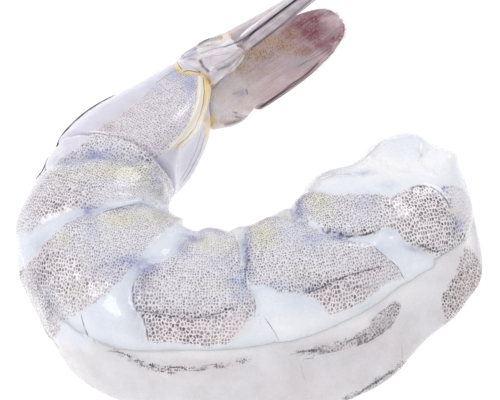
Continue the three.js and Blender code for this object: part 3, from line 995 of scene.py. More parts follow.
# %% Wet bumps, shared by all finishes
wet_group, given, result = new_group(
    "wet_bumps", {"Place": "Vector", "Size": "Float", "Height": "Float", "Extra": "Float"}, {"Normal": "Vector"})
film = times(wet_group, clouds(wet_group, given["Place"], given["Size"]), given["Height"])
film = plus(wet_group, film, given["Extra"])
bump = make(wet_group, "ShaderNodeBump", {"Height": film, "Distance": 1.0, "Strength": 1.0})
wet_group.links.new(bump.outputs["Normal"], result["Normal"])
print("group:", wet_group.name)

# %% [markdown]
# Raw prawn muscle is a bluish white and lets light in a little way, so it gets subsurface scattering under a
# clear wet coat. On it lie the skin, its tints, its dots and the dark lines, in that order.

# %% Tones of the flesh
FLESH_WHITE = colour(222, 226, 235)
# The tone of the painted light on the white flesh.
FLESH_PAINTED_LIGHT = colour(246, 243, 243)
FLESH_LOWER = colour(215, 211, 214)
SKIN_PALE = colour(224, 221, 226)
SKIN_BLUE = colour(130, 146, 200)
SKIN_YELLOW = colour(216, 213, 172)
SKIN_PINK = colour(222, 200, 200)
SKIN_SHADE = colour(140, 132, 156)
INK_LIGHT = colour(150, 146, 155)
INK_DARK = colour(60, 52, 58)
INK_BLUE = colour(74, 82, 128)
LINE_COLOUR = colour(58, 54, 68)
MUSCLE_RADIUS = (1.0, 0.9, 0.85)  # how far red, green and blue light go in, against each other

print("bare flesh is", [round(v, 2) for v in FLESH_WHITE[:3]])

# %% Finish of the flesh: bare muscle
raw_flesh, tree, surface = new_material("raw_flesh")
flat_map = skin_map(tree)
spot = object_place(tree)
dots = use_group(tree, dots_group, {"Map": flat_map, "Grain": stored(tree, "grain")})
cloudy = clouds(tree, spot, 260.0, 3.0)
white = mix(tree, stored(tree, "lower"), FLESH_WHITE, FLESH_LOWER)
# Painted light: whiter where the flesh is most lit and gleams.
white = mix(tree, stored(tree, "bright"), white, FLESH_PAINTED_LIGHT)
white = mix(tree, stored(tree, "film"), white, colour(212, 206, 219))
white = mix(tree, step(tree, cloudy, 0.35, 0.75, 0.0, 0.5), white, colour(232, 233, 238))
# Painted shade: darker and bluer white flesh where it lies in shade.
white = tint(tree, white, "cool_shade", 0.8, colour(202, 208, 220))
white = tint(tree, white, "pink", 0.35, SKIN_PINK)
print("nodes for the muscle:", len(tree.nodes))

# %% Finish of the flesh: skin and its tints
# The border of the skin is frayed by noise.
torn = clouds(tree, spot, 1300.0)
both_noises = plus(tree, cloudy, times(tree, torn, 1.4))
fray = times(tree, minus(tree, both_noises, 1.2), 5.0)
depth = plus(tree, stored(tree, "skin_depth"), fray)
covered = step(tree, depth, -2.0, 2.5)
skin_tone = mix(tree, step(tree, stored(tree, "grain"), 0.3, 1.0, 0.0, 0.8), SKIN_PALE, colour(240, 233, 236))
broken = step(tree, torn, 0.3, 0.65, 0.5, 1.0)
yellow_share = times(tree, stored(tree, "yellow"), broken)
skin_tone = mix(tree, times(tree, yellow_share, 0.5), skin_tone, SKIN_YELLOW)
skin_tone = tint(tree, skin_tone, "pink", 0.45, SKIN_PINK)
tinted = mix(tree, covered, white, skin_tone)
blue_share = times(tree, stored(tree, "blue"), broken)
tinted = mix(tree, times(tree, blue_share, 0.75), tinted, SKIN_BLUE)
tinted = mix(tree, times(tree, yellow_share, 0.4), tinted, SKIN_YELLOW)
smudge = times(tree, stored(tree, "smudge"), step(tree, torn, 0.35, 0.6, 0.1, 0.42))
tinted = mix(tree, smudge, tinted, colour(158, 140, 134))
tinted = tint(tree, tinted, "shade", step(tree, torn, 0.35, 0.6, 0.25, 0.6), SKIN_SHADE)
print("nodes with the skin:", len(tree.nodes))

# %% Finish of the flesh: dots and dark lines
ink_tone = mix(tree, step(tree, stored(tree, "ink"), 0.3, 0.95), INK_LIGHT, INK_DARK)
ink_tone = mix(tree, times(tree, blue_share, 0.8), ink_tone, INK_BLUE)
ink_share = times(tree, dots["Dots"], step(tree, depth, -0.8, 2.2))
ink_share = times(tree, ink_share, step(tree, stored(tree, "ink"), 0.0, 0.6, 0.2, 1.0))
ink_share = times(tree, ink_share, step(tree, cloudy, 0.3, 0.6, 0.75, 1.0))
inked = mix(tree, ink_share, tinted, ink_tone)
beside = plus(tree, maths(tree, "ABSOLUTE", stored(tree, "line_side")), times(tree, torn, 0.6))
line = times(tree, step(tree, beside, 0.6, 1.6, 1.0, 0.0), stored(tree, "line_power"))
line = times(tree, line, step(tree, torn, 0.36, 0.58, 0.3, 0.85))
inked = mix(tree, line, inked, LINE_COLOUR)
print("nodes with the ink:", len(tree.nodes))

# %% Finish of the flesh: the wet surface
fibres = clouds(tree, spot, 2400.0)
fibre_height = times(tree, fibres, step(tree, depth, -2.0, 1.0, 0.00007, 0.00002))
raised = plus(tree, times(tree, ink_share, 0.00002), fibre_height)
wet = use_group(tree, wet_group, {"Place": spot, "Size": 900.0, "Height": 0.00016, "Extra": raised})
give(tree, surface, {
    "Base Color": inked, "Roughness": step(tree, cloudy, 0.3, 0.7, 0.22, 0.4), "Normal": wet["Normal"],
    "Subsurface Weight": 0.35, "Subsurface Radius": MUSCLE_RADIUS, "Subsurface Scale": 0.0012, "IOR": 1.4,
    "Coat Weight": 0.8, "Coat Roughness": 0.06,
})
flesh.data.materials.append(raw_flesh)
rides(flesh, ["flesh"])
print("finish:", raw_flesh.name)

# %% [markdown]
# The sixth segment keeps its shell: a clear glossy sheath over dotted skin. The skin fills only the middle
# of what shows, and a lavender film lies outside it. A yellow band edges the shell in front of the fan.

# %% Marks on the shell
PATCH_SHELL = [
    (58, 155), (66, 147), (76, 141), (86, 136), (94, 131), (103, 124), (114, 117), (127, 109), (138, 101),
    (145, 92), (156, 83), (166, 74), (175, 68), (186, 72), (198, 74), (204, 82), (203, 97), (199, 112),
    (190, 128), (178, 142), (168, 150), (160, 158), (150, 166), (60, 175),
]
SHELL_GRAIN = 0.35
SHELL_BLUE = [
    (190, 84, 9, 9, 0.8), (178, 74, 12, 7, 0.7), (192, 98, 6, 8, 0.6), (97, 152, 18, 6, 0.9),
    (188, 56, 6, 5, 1.0), (175, 74, 8, 5, 0.6), (155, 88, 8, 6, 0.3),
]
SHELL_BROWN = [
    (92, 137, 12, 4, 0.6), (108, 127, 10, 5, 0.6), (76, 143, 10, 3, 0.5), (124, 113, 8, 4, 0.4),
    (136, 102, 8, 4, 0.3), (204, 127, 3, 5, 0.8), (206, 122, 2, 6, 1.0), (172, 68, 7, 3, 0.5),
]
SHELL_LINES = [
    (1.0, 0.35, [(176, 146), (186, 137.5), (194, 127), (199, 115), (202.5, 103), (203.5, 92), (203, 84),
                 (202, 77)]),
    (1.0, 0.5, [(176, 61), (178, 64), (180, 67), (182, 70)]),
    (1.0, 0.5, [(183, 72), (188, 70.5), (196, 72), (201, 72)]),
    (0.7, 0.7, [(160, 69), (170, 63), (178, 58), (186, 53)]),
    (0.6, 0.8, [(176, 61), (183, 57), (189, 60), (197, 58)]),
    (0.5, 0.5, [(180, 70), (172, 72), (164, 77), (155, 84)]),
    (0.7, 0.45, [(206, 133), (200, 152), (191, 170), (183, 182)]),
    (0.5, 0.45, [(202, 130), (197, 148), (188, 168), (178, 184)]),
]
CREAM_PATCH = [
    (203, 76), (203.5, 92), (202.5, 103), (199, 115), (194, 127), (186, 137), (176, 146), (166, 153),
    (172, 143), (181, 134), (188, 124), (193, 113), (196, 101), (197.5, 88), (198, 76),
]
GOLD_PATCH = [
    (201, 74), (208, 76), (211, 82), (211, 90), (209, 99), (207, 110), (204, 119), (199, 129), (190, 140),
    (178, 149), (176, 146), (186, 137.5), (194, 127), (199, 115), (202.5, 103), (203.5, 92),
]
FLAP_EDGE = [(206, 118), (212, 116), (213, 134), (210, 148), (207, 148), (205, 130)]
JOINT_EDGE = [(174, 62), (178, 61), (184, 69), (202, 70), (202, 75), (188, 76), (177, 73)]
print("shell lines:", len(SHELL_LINES))

# %% Shell of the tail segment
shell = refined_copy("tail_segment", "tail_shell")
coarse = points_of(shell)
shell_seam = coarse[:, 2] / MM + 10 * np.abs(back_share(coarse) - 0.2)  # low down, near the belly
lay_flat(shell, [shell_seam], normals_of(shell) @ TO_CAMERA)
subdivide(shell, 3)
shell_points = points_of(shell)
shell_xy = photo_xy(shell_points)
shell_facing = normals_of(shell) @ TO_CAMERA
shell_seen = smooth(shell_facing, *AWAY)

# %% [markdown]
# The yellow band is a thick rolled edge of the shell, so it swells. The gold pales towards its lower end.

# %% Marks and relief of the shell
BAND_SWELL = 0.3  # mm
SHELL_WAVES, SHELL_WAVE_SIZE = 0.05, 2.0 * MM
GOLD_PALES = (90, 118)  # pixels down the picture
PALED_BY = 0.55

shell_skin = np.min([patch_depth(shell_xy, PATCH_SHELL), 8 * (shell_facing + 1.0)], axis=0)
gold_depth, cream_depth, flap_depth, joint_depth = (
    patch_depth(shell_xy, outline) for outline in (GOLD_PATCH, CREAM_PATCH, FLAP_EDGE, JOINT_EDGE))
band_depth = np.maximum(gold_depth, cream_depth)
gold = smooth(gold_depth, -1, 1.5) * (1 - PALED_BY * smooth(shell_xy[:, 1], *GOLD_PALES))
low_gold = 0.8 * smooth(np.maximum(flap_depth, joint_depth), -1, 1)
swell = BAND_SWELL * smooth(band_depth, -1.5, 2) * shell_seen
move_out(shell, swell + SHELL_WAVES * waves(shell_points, SHELL_WAVE_SIZE, 3))
line_side, line_power = dark_lines_at(shell_xy, SHELL_LINES)
store(shell, "skin_depth", np.clip(shell_skin, -SKIN_LIMIT, SKIN_LIMIT))
store(shell, "blue", spots_at(shell_xy, SHELL_BLUE) * shell_seen)
store(shell, "brown", spots_at(shell_xy, SHELL_BROWN) * shell_seen)
store(shell, "yellow", np.maximum(gold, low_gold) * shell_seen)
store(shell, "cream", smooth(band_depth, -1, 1) * shell_seen)
store(shell, "line_side", line_side)
store(shell, "line_power", line_power * smooth(shell_facing, -0.3, 0.05))
print("marks of the shell:", len(shell.data.attributes))

# %% [markdown]
# The shell is horn as thin as paper, clear and shiny, and the skin under it shows through. One opaque
# surface with the skin painted in it and a clear coat looks the same and stays simple.

# %% Finish of the shell
SHELL_FILM = colour(212, 209, 222)
SHELL_SKIN = colour(222, 216, 222)
SHELL_INK = colour(120, 112, 118)
shell_finish, tree, surface = new_material("tail_shell_film")
flat_map = skin_map(tree)
spot = object_place(tree)
dots = use_group(tree, dots_group, {"Map": flat_map, "Grain": SHELL_GRAIN})
cloudy = clouds(tree, spot, 260.0, 3.0)
fray = times(tree, minus(tree, cloudy, 0.5), 3.0)
depth = plus(tree, stored(tree, "skin_depth"), fray)
base = mix(tree, step(tree, depth, -1.0, 1.5), SHELL_FILM, SHELL_SKIN)
base = tint(tree, base, "blue", 0.7, SKIN_BLUE)
base = tint(tree, base, "brown", 0.6, colour(176, 150, 146))
base = tint(tree, base, "cream", 0.85, colour(238, 227, 208))
base = tint(tree, base, "yellow", 0.9, colour(234, 204, 130))
ink_share = times(tree, dots["Dots"], step(tree, depth, -0.4, 2.0))
ink_share = times(tree, ink_share, step(tree, stored(tree, "cream"), 0.1, 0.6, 0.75, 0.0))
base = mix(tree, ink_share, base, SHELL_INK)
beside = maths(tree, "ABSOLUTE", stored(tree, "line_side"))
line = times(tree, step(tree, beside, 0.5, 1.3, 1.0, 0.0), stored(tree, "line_power"))
base = mix(tree, times(tree, line, 0.85), base, colour(72, 70, 66))
wet = use_group(tree, wet_group, {"Place": spot, "Size": 700.0, "Height": 0.00008, "Extra": 0.0})
give(tree, surface, {
    "Base Color": base, "Roughness": 0.25, "Normal": wet["Normal"],
    "Subsurface Weight": 0.25, "Subsurface Radius": MUSCLE_RADIUS, "Subsurface Scale": 0.001, "IOR": 1.5,
    "Coat Weight": 0.7, "Coat Roughness": 0.12,
})
shell.data.materials.append(shell_finish)
rides(shell, ["tail_segment"])
print("finish:", shell_finish.name)

# %% [markdown]
# A dark keel runs down the middle of the back, from the shell onto the fifth segment, where it is part of the
# prawn's outline in the picture. It is a thin raised ridge. A flat grid is rolled up into a tube that follows
# a line on the surface and tapers at both ends.

# %% Path of the keel
KEEL_LINE = [(36, 180), (40, 171), (46, 160), (53, 149), (60, 140), (69, 130), (80, 120), (92, 110),
             (104, 101), (116, 93)]
KEEL_RADIUS = 0.17 * MM
KEEL_RISE = 0.08 * MM  # how far its middle lies above the surface
KEEL_STEPS, KEEL_SIDES = 48, 8
OUTLINE = 0.25  # what faces the camera less than this is near the outline
REACH = 8  # square pixels, how near the outline's points have to be


def even_out(points, rounds):
    """Smooths a row of points and leaves its two ends where they are."""
    for _ in range(rounds):
        points[1:-1] = (points[:-2] + 2 * points[1:-1] + points[2:]) / 4
    return points


def keel_path(line, steps):
    """Points on the outline of flesh and shell as the picture shows it, near a line in the picture."""
    both_points = np.vstack([points_of(flesh), points_of(shell)])
    both_normals = np.vstack([normals_of(flesh), normals_of(shell)])
    both_facing = both_normals @ TO_CAMERA
    rim = (both_facing > 0.0) & (both_facing < OUTLINE)
    rim_points, rim_xy = both_points[rim], photo_xy(both_points[rim])
    places = np.linspace(0, len(line) - 1, steps)
    xy = np.column_stack([np.interp(places, range(len(line)), values) for values in np.array(line, float).T])
    weights = np.exp(-((rim_xy[None, :, :] - xy[:, None, :]) ** 2).sum(2) / REACH)
    middles = even_out(weights @ rim_points / weights.sum(1, keepdims=True), 60)
    outward = np.zeros_like(middles)
    for i in range(steps):
        found = [piece.closest_point_on_mesh(Vector(middles[i]))[1:3] for piece in (flesh, shell)]
        place, normal = min(found, key=lambda hit: (hit[0] - Vector(middles[i])).length)
        middles[i], outward[i] = place + normal * KEEL_RISE, normal
    return even_out(middles, 10), outward


middles, outward = keel_path(KEEL_LINE, KEEL_STEPS)
print("keel from", (middles[0] / MM).round(1), "to", (middles[-1] / MM).round(1), "mm")

# %% Keel
bpy.ops.mesh.primitive_grid_add(x_subdivisions=KEEL_SIDES, y_subdivisions=KEEL_STEPS - 1, size=1)
keel = bpy.context.object
keel.name = "shell_keel"
flat_points = points_of(keel)
row = np.rint((flat_points[:, 1] + 0.5) * (KEEL_STEPS - 1)).astype(int)
angle = (flat_points[:, 0] + 0.5) * 2 * math.pi
ahead = np.gradient(middles, axis=0)
ahead /= np.linalg.norm(ahead, axis=1, keepdims=True)
sideways = np.cross(outward, ahead)
taper = np.sin(np.linspace(0, math.pi, KEEL_STEPS)) ** 0.5 * KEEL_RADIUS
round_way = outward[row] * np.cos(angle)[:, None] + sideways[row] * np.sin(angle)[:, None]
move_points(keel, middles[row] + round_way * taper[row][:, None])
choose(keel)
bpy.ops.object.mode_set(mode="EDIT")
bpy.ops.mesh.select_all(action="SELECT")
bpy.ops.mesh.remove_doubles(threshold=MERGE)
bpy.ops.mesh.normals_make_consistent(inside=False)
bpy.ops.object.mode_set(mode="OBJECT")
keel.data.shade_smooth()
keel_finish, tree, surface = new_material("keel_pigment")
spot = object_place(tree)
cloudy = clouds(tree, spot, 900.0)
horn = mix(tree, step(tree, cloudy, 0.35, 0.65), colour(84, 82, 80), colour(150, 146, 148))
give(tree, surface, {"Base Color": horn, "Roughness": 0.3, "Coat Weight": 0.5})
keel.data.materials.clear()
keel.data.materials.append(keel_finish)
rides(keel, [])
print("keel has", len(keel.data.vertices), "vertices")

# %% [markdown]
# Every leaf of the fan is one thin horny blade with a rib, fine lengthwise flutes and a thick outer edge.
# A leaf is easiest to shape in its own directions: along it, across it and through it. They are found from
# the spread of its vertices.

# %% A leaf's own directions
def middle_of(node):
    low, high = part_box(node)
    return (np.array(low) + np.array(high)) / 2


def leaf_frame(node):
    """Its centre, its three directions, its half length and its half width at places along it."""
    points = node_points(node)
    centre = (points.min(0) + points.max(0)) / 2
    _, ways = np.linalg.eigh(np.cov((points - centre).T))
    along, across = ways[:, 2], ways[:, 1]
    if along @ (centre - middle_of("tail_segment")) < 0:
        along = -along
    if across @ (centre - middle_of("telson")) < 0:
        across = -across
    local = (points - centre) @ np.column_stack([along, across])
    reach = np.abs(local[:, 0]).max()
    run = (local[:, 0] / reach + 1) / 2
    places = np.linspace(0, 1, 21)
    widths = np.array([np.abs(local[np.abs(run - place) < 0.08, 1]).max() for place in places])
    return centre, along, across, reach, places, widths


def leaf_places(leaf, points):
    """How far along the leaf each point is, from 0 to 1, how far across it from -1 to 1, and that in mm."""
    centre, along, across, reach, places, widths = leaf
    run = ((points - centre) @ along / reach + 1) / 2
    strip = (points - centre) @ across
    side = np.clip(strip / np.maximum(np.interp(run, places, widths), 0.2 * MM), -1, 1)
    return run, side, strip / MM


FAN_NODES = ["telson"]
FAN_NODES += [part + side for part in ("endopod", "exopod", "uropod_base") for side in ("_left", "_right")]
frames = {node: leaf_frame(node) for node in FAN_NODES}
print("half lengths in mm:", {node: round(leaf[3] / MM, 1) for node, leaf in frames.items()})

# %% [markdown]
# The marks of the fan are again soft spots and lines in the picture: wine red and tan on the big right leaf,
# lavender on the left leaves, which are seen edge on, and yellow, olive and blue on the skin of the joint.
# Some spots are painted highlights, and some spots and lines are painted shade along the left bars and stalks.
# On the sides that the picture doesn't show, a leaf is tan with a wine red tip.

# %% Marks on the fan
FAN_TONES = {
    "tan": [
        (258, 54, 20, 9, 0.9), (274, 42, 16, 9, 1.0), (240, 68, 14, 9, 0.6), (292, 34, 12, 7, 0.9),
        (284, 46, 14, 7, 0.9), (256, 70, 18, 8, 0.4), (300, 52, 14, 7, 0.7), (205, 122, 2, 6, 0.8),
        (228, 122, 12, 3, 0.5),
    ],
    # A greyer tone. Along the lower edge of the lower left bar and in the streak across the left stalk it is painted
    # shade.
    "grey_and_shade": [
        (270, 56, 14, 5, 0.3), (256, 42, 8, 4, 1.0), (268, 32, 9, 5, 1.0), (280, 22, 9, 5, 1.0),
        (292, 12, 9, 5, 1.0), (304, 2, 9, 5, 1.0), (318, -10, 10, 6, 1.0), (332, -20, 10, 6, 1.0),
        (214, 46, 7, 3, 0.9), (232, 66, 10, 4, 0.5), (222, 60, 12, 5, 0.3), (300, 62, 12, 8, 0.8),
        (292, 66, 14, 8, 0.6), (240, 93, 9, 6, 0.5), (220, 58, 22, 10, 0.4), (190, 58, 10, 6, 0.6),
    ],
    "mauve": [
        (303, 24, 12, 8, 0.9), (312, 32, 12, 10, 1.0), (302, 38, 12, 8, 0.45), (322, 44, 12, 7, 0.7),
        (320, 16, 8, 3, 0.6), (314, 20, 9, 6, 0.9), (334, 40, 7, 5, 0.8), (290, 36, 9, 6, 0.4),
        (306, 50, 10, 6, 0.55), (318, 36, 12, 8, 0.7),
        (262, 105, 6, 2, 0.4), *stroke([(345, 24), (344, 32), (338, 40)], 3.5, 0.9),
        *stroke([(284, 33), (297, 20), (312, 13)], 5, 0.55),
    ],
    # A paler tone with painted highlights: the gleams on the root of the right leaf, near its tip and along the
    # ridges of the left stalk.
    "light": [
        (215, 106, 5, 4, 1.2), (222, 107, 2, 3, 1.0), (226, 100, 10, 8, 0.3), (336, 18, 9, 4, 0.5),
        (250, 28, 10, 6, 0.5), (240, 34, 8, 4, 0.8), (262, 18, 8, 4, 0.3), (226, 112, 10, 5, 0.5),
        (244, 114, 6, 3, 0.5), (225, 43, 8, 3, 0.6), (189, 65, 8, 4, 0.8), (218, 56, 10, 4, 0.5),
        (234, 68, 3, 6, 0.6), (222, 79, 7, 5, 0.7), (246, 44, 5, 3, 0.6),
    ],
    # The leaf's own pink. The two small spots at the tip of the right leaf are painted glints.
    "pink": [
        (268, 98, 14, 6, 0.6), (250, 108, 6, 3, 1.0), (290, 86, 14, 4, 0.6), (306, 72, 14, 4, 0.6),
        (322, 58, 8, 6, 0.9), (331, 22, 8, 7, 0.9), (324, 20, 5, 4, 0.8), (336, 46, 5, 6, 0.8),
        (232, 116, 10, 4, 0.5), (216, 60, 10, 5, 0.4), (214, 74, 7, 5, 0.4), (322, 38, 5, 5, 0.4),
        (206, 47, 4, 2, 0.7),
    ],
    "blue": [
        (242, 93, 7, 5, 0.3), (241, 102, 6, 6, 0.25), (236, 98, 4, 6, 0.2), (190, 55, 7, 5, 0.4),
        *stroke([(246.5, 90), (247.5, 94)], 1.2, 0.6), *stroke([(234, 94), (242, 91)], 1.2, 0.4),
        *stroke([(184, 58), (190, 56), (196, 52)], 1.7, 0.9), *stroke([(188, 59), (195, 59)], 1.4, 0.7),
        *stroke([(190, 52), (196, 49)], 1.2, 0.8), *stroke([(204, 67), (208, 71)], 1.6, 0.6),
    ],
    "yellow": [
        (206, 86, 5, 8, 1.0), (211, 83, 3, 4, 0.9), (214, 120, 4, 5, 0.8), (209, 130, 4, 9, 1.0),
        (203, 76, 3, 4, 0.8), (178, 68, 3, 5, 0.7), (190, 73, 12, 2, 0.6), (210, 92, 3, 5, 0.7),
        *stroke([(216, 41), (224, 38), (231, 34.5)], 2.6, 0.6), *stroke([(231, 34.5), (238, 30)], 2.0, 0.3),
    ],
    # Olive pigment on the joint, and painted shade: the dark streak across the left stalk and the dark band along
    # the underside of the right stalk.
    "olive_and_shade": [
        *stroke([(200, 44), (206, 41), (213, 39), (221, 37.5)], 2.2, 0.75), *stroke([(200, 47),
                 (208, 45)], 1.4, 0.4),
        *stroke([(200.5, 61), (203, 66)], 1.9, 0.8), *stroke([(204, 67), (208, 71)], 1.6, 0.45),
        *stroke([(218, 69.5), (224, 67.5), (230, 64)], 2.0, 0.5), *stroke([(230, 64), (238, 58),
                 (245, 52)], 1.8, 0.35),
        *stroke([(206, 118), (205.5, 124), (207, 129)], 1.5, 0.8), *stroke([(209, 129), (213, 122)], 0.9, 0.4),
        *stroke([(226, 124.5), (238, 121), (250, 116)], 2.2, 0.5), *stroke([(236, 117), (244, 118)], 1.4, 0.5),
        *stroke([(233, 112), (237, 113)], 0.8, 0.6), *stroke([(180, 66), (177, 61)], 1.0, 0.5),
    ],
}
# Dark ridges and edges of the leaves. The lines along the left bars, in their grooves and along the lower edge of
# the lower bar, are painted shade.
FAN_LINES_AND_SHADE = [
    (1.0, 1.35, [(256, 109), (262, 106), (272, 99), (283, 91), (292, 84), (300, 79), (308, 73), (314, 67),
                 (320, 61)]),
    (1.0, 0.7, [(250, 112), (255, 113), (262, 110), (272, 102.5), (283, 95), (294, 88), (303, 81), (312, 73),
                (322, 64),
                (332, 54), (341, 42), (346, 30)]),
    (0.6, 0.5, [(296, 68), (306, 62), (314, 58), (324, 52), (334, 44)]),
    (0.5, 0.4, [(302, 73), (312, 66), (322, 58), (332, 49)]),
    (0.4, 0.5, [(238, 114), (244, 116), (250, 116)]),
    (0.25, 0.5, [(266, 84), (278, 77), (290, 70), (300, 64)]),
    (0.2, 0.5, [(262, 78), (276, 70), (290, 62)]),
    (0.9, 0.8, [(218, 47.5), (224, 47), (231, 44.5), (244, 39), (254, 32), (264, 25), (276, 15), (288, 6),
                (300, -3),
                (330, -26)]),
    (0.5, 0.4, [(262, 29), (270, 23), (280, 14), (292, 4), (304, -6)]),
    (1.0, 1.4, [(248, 51), (252, 47.5), (262, 40), (272, 32.5), (283, 24), (295, 13.5), (306, 4), (318, -6),
                (338, -22)]),
    (0.4, 0.4, [(248, 43), (258, 36), (270, 27), (284, 16), (300, 3)]),
    (0.3, 0.4, [(246, 30), (262, 18), (280, 5), (294, -5)]),
    (0.8, 0.5, [(178, 64), (180, 67), (182, 70)]),
    (0.8, 0.5, [(183, 72), (188, 70.5), (196, 72), (201, 72)]),
    (0.7, 0.5, [(180, 59), (184, 54), (190, 50), (198, 46), (204, 41), (212, 38)]),
    (0.6, 0.5, [(241, 50), (243, 54), (241, 58), (236, 64), (228, 73), (220, 81), (212, 90)]),
    (0.5, 0.4, [(200, 54), (208, 50.5), (218, 48)]),
    (0.4, 0.4, [(204, 59), (212, 56), (222, 55), (232, 52)]),
    (0.3, 0.4, [(212, 66), (218, 64), (226, 60), (236, 54)]),
]
# Inside this outline the picture shows the right leaves, and outside it the left ones and the joint.
BLADE_OUTLINE = [
    (212, 90), (222, 80), (236, 65), (243, 54), (262, 41), (283, 25), (300, 10), (318, -2), (350, -2),
    (370, 40), (340, 80), (262, 125), (213, 140), (205, 120), (207, 100),
]
print("fan:", sum(len(spots) for spots in FAN_TONES.values()), "spots,", len(FAN_LINES_AND_SHADE), "lines")


# %% Store the marks of a fan piece
def store_marks(piece, leaf, broad):
    """Marks where the picture shows the piece. Elsewhere its broad faces are tan with a wine red tip."""
    points, normals = points_of(piece), normals_of(piece)
    run, side, strip = leaf_places(leaf, points)
    xy = photo_xy(points)
    shown = smooth(normals @ TO_CAMERA, -0.25, 0.1)
    flat = broad * smooth(np.abs(normals @ np.cross(leaf[1], leaf[2])), 0.5, 0.85)
    tip = smooth(run, 0.5, 0.9)
    hidden = {"mauve": tip * flat, "tan": smooth(run, 0.1, 0.4) * (1 - tip) * flat}
    for name, spots in FAN_TONES.items():
        store(piece, name, spots_at(xy, spots) * shown + hidden.get(name, 0) * (1 - shown))
    line_side, line_power = dark_lines_at(xy, FAN_LINES_AND_SHADE)
    store(piece, "line_side", line_side * shown)
    store(piece, "line_power", line_power * shown + 0.9 * flat * smooth(side, 0.9, 0.96) * (1 - shown))
    store(piece, "blade", smooth(patch_depth(xy, BLADE_OUTLINE), -1, 1) * shown + broad * (1 - shown))
    store(piece, "run", run)
    store(piece, "strip", strip)


def press_lines(piece, depth):
    """Presses the lines into the surface where the picture shows them."""
    line_side, line_power = dark_lines_at(photo_xy(points_of(piece)), FAN_LINES_AND_SHADE)
    shown = smooth(normals_of(piece) @ TO_CAMERA, 0.0, 0.3)
    move_out(piece, -depth * line_power * np.exp(-line_side ** 2) * shown)


print("ready for", len(FAN_NODES), "pieces")

# %% [markdown]
# The right inner leaf runs on under the left ones, so its inner half is made a little wider than its solid,
# and the outer leaf under it a little narrower, so that it shows as a second thin edge. The left leaves are
# seen on their edges, as two lavender bars with a fine dark line between them, so they are made a little
# thicker there.

# %% How the leaves change
WIDER = {"endopod_right": (1.16, 1.0), "exopod_right": (1.1, 0.88)}  # inner half, outer half
# How far the upper edge rises and the lower edge sinks in the picture, in mm.
THICKER = {"endopod_left": (1.1, 0.45), "exopod_left": (0.0, 0.6)}
LEAVES = {
    "endopod_left": "inner_leaf_left", "endopod_right": "inner_leaf_right",
    "exopod_left": "outer_leaf_left", "exopod_right": "outer_leaf_right", "telson": "telson_spine",
}
ROOT = 0.15  # share of its length over which a leaf leaves its root


def widen(points, node, run, strip):
    """Widens the inner and the outer half of a leaf, each by its own factor."""
    inner, outer = WIDER.get(node, (1.0, 1.0))
    wider = strip * MM * (np.where(strip < 0, inner, outer) - 1) * smooth(run, 0.0, ROOT)
    return points + np.outer(wider, frames[node][2])


def thicken(points, node, run):
    """Lifts the upper edge and lowers the lower edge of a leaf, as the picture shows them."""
    up, down = THICKER.get(node, (0.0, 0.0))
    along, places = frames[node][1], frames[node][4]
    upwards = PICTURE_UP - along * (PICTURE_UP @ along)
    level = points @ upwards
    slices = [level[np.abs(run - place) < 0.06] for place in places]
    kept = [i for i, part in enumerate(slices) if len(part)]
    low = np.interp(run, places[kept], [slices[i].min() for i in kept])
    high = np.interp(run, places[kept], [slices[i].max() for i in kept])
    rise = (-down + (up + down) * np.clip((level - low) / (high - low), 0, 1)) * smooth(run, 0.0, 0.1)
    return points + np.outer(rise * MM, upwards)


print("leaves that get thicker:", list(THICKER))


# %% Ribs, flutes and ridges
def blade_relief(run, side):
    rib = 0.12 * np.exp(-((side - 0.12) / 0.07) ** 2) + 0.08 * np.exp(-((side + 0.3) / 0.05) ** 2)
    flutes = 0.02 * np.sin(side * 34) * smooth(1 - np.abs(side), 0.0, 0.3)
    edge = 0.15 * np.exp(-((side - 0.95) / 0.05) ** 2)
    return (rib * (1 - 0.7 * run) + flutes + edge) * smooth(run, 0.02, ROOT)


def telson_relief(run, side):
    groove = -0.35 * np.exp(-(side / 0.12) ** 2)
    ridges = 0.25 * np.exp(-((np.abs(side) - 0.35) / 0.1) ** 2)
    return (groove + ridges) * smooth(run, 0.05, 0.2) * (1 - 0.6 * run)


print("rib in mm:", round(float(blade_relief(0.5, 0.12)), 2))

# %% Leaves
LINE_DEPTH, WEB_LINE_DEPTH = 0.1, 0.15  # mm by which lines are pressed in

fan_pieces = {}
for node, name in LEAVES.items():
    leaf = refined_copy(node, name)
    subdivide(leaf, 3)
    is_blade = node != "telson"
    run, side, strip = leaf_places(frames[node], points_of(leaf))
    move_points(leaf, thicken(widen(points_of(leaf), node, run, strip), node, run))
    move_out(leaf, blade_relief(run, side) if is_blade else telson_relief(run, side))
    press_lines(leaf, LINE_DEPTH)
    store_marks(leaf, frames[node], float(is_blade))
    fan_pieces[name] = (leaf, [node])
print("leaves:", list(fan_pieces))

# %% [markdown]
# Skin joins the pieces of the fan where the solids leave gaps. Such a web of skin is the tightest smooth form
# round the ends that it joins. So the points of those ends are wrapped in their convex hull, the hull is
# remeshed evenly, and smoothing rounds it off.

# %% Webs of skin
def end_points(node, low, high):
    """The points of a node that lie between two shares of its length, counted from the body."""
    points = node_points(node)
    run = leaf_places(frames[node], points)[0]
    return points[(run >= low) & (run <= high)]


def picture_point(x, y, beside):
    """The point seen at x, y in the picture, as far away as the middle of some other points."""
    depth = (CAMERA_PLACE - beside.mean(0)) @ TO_CAMERA
    sideways = (x - PHOTO_SIZE[0] / 2) / FOCAL_PIXELS * depth
    upwards = (PHOTO_SIZE[1] / 2 - y) / FOCAL_PIXELS * depth
    return CAMERA_PLACE - TO_CAMERA * depth + np.array([sideways, 0, 0]) + PICTURE_UP * upwards


print("end of the telson:", len(end_points("telson", 0, 0.14)), "points")


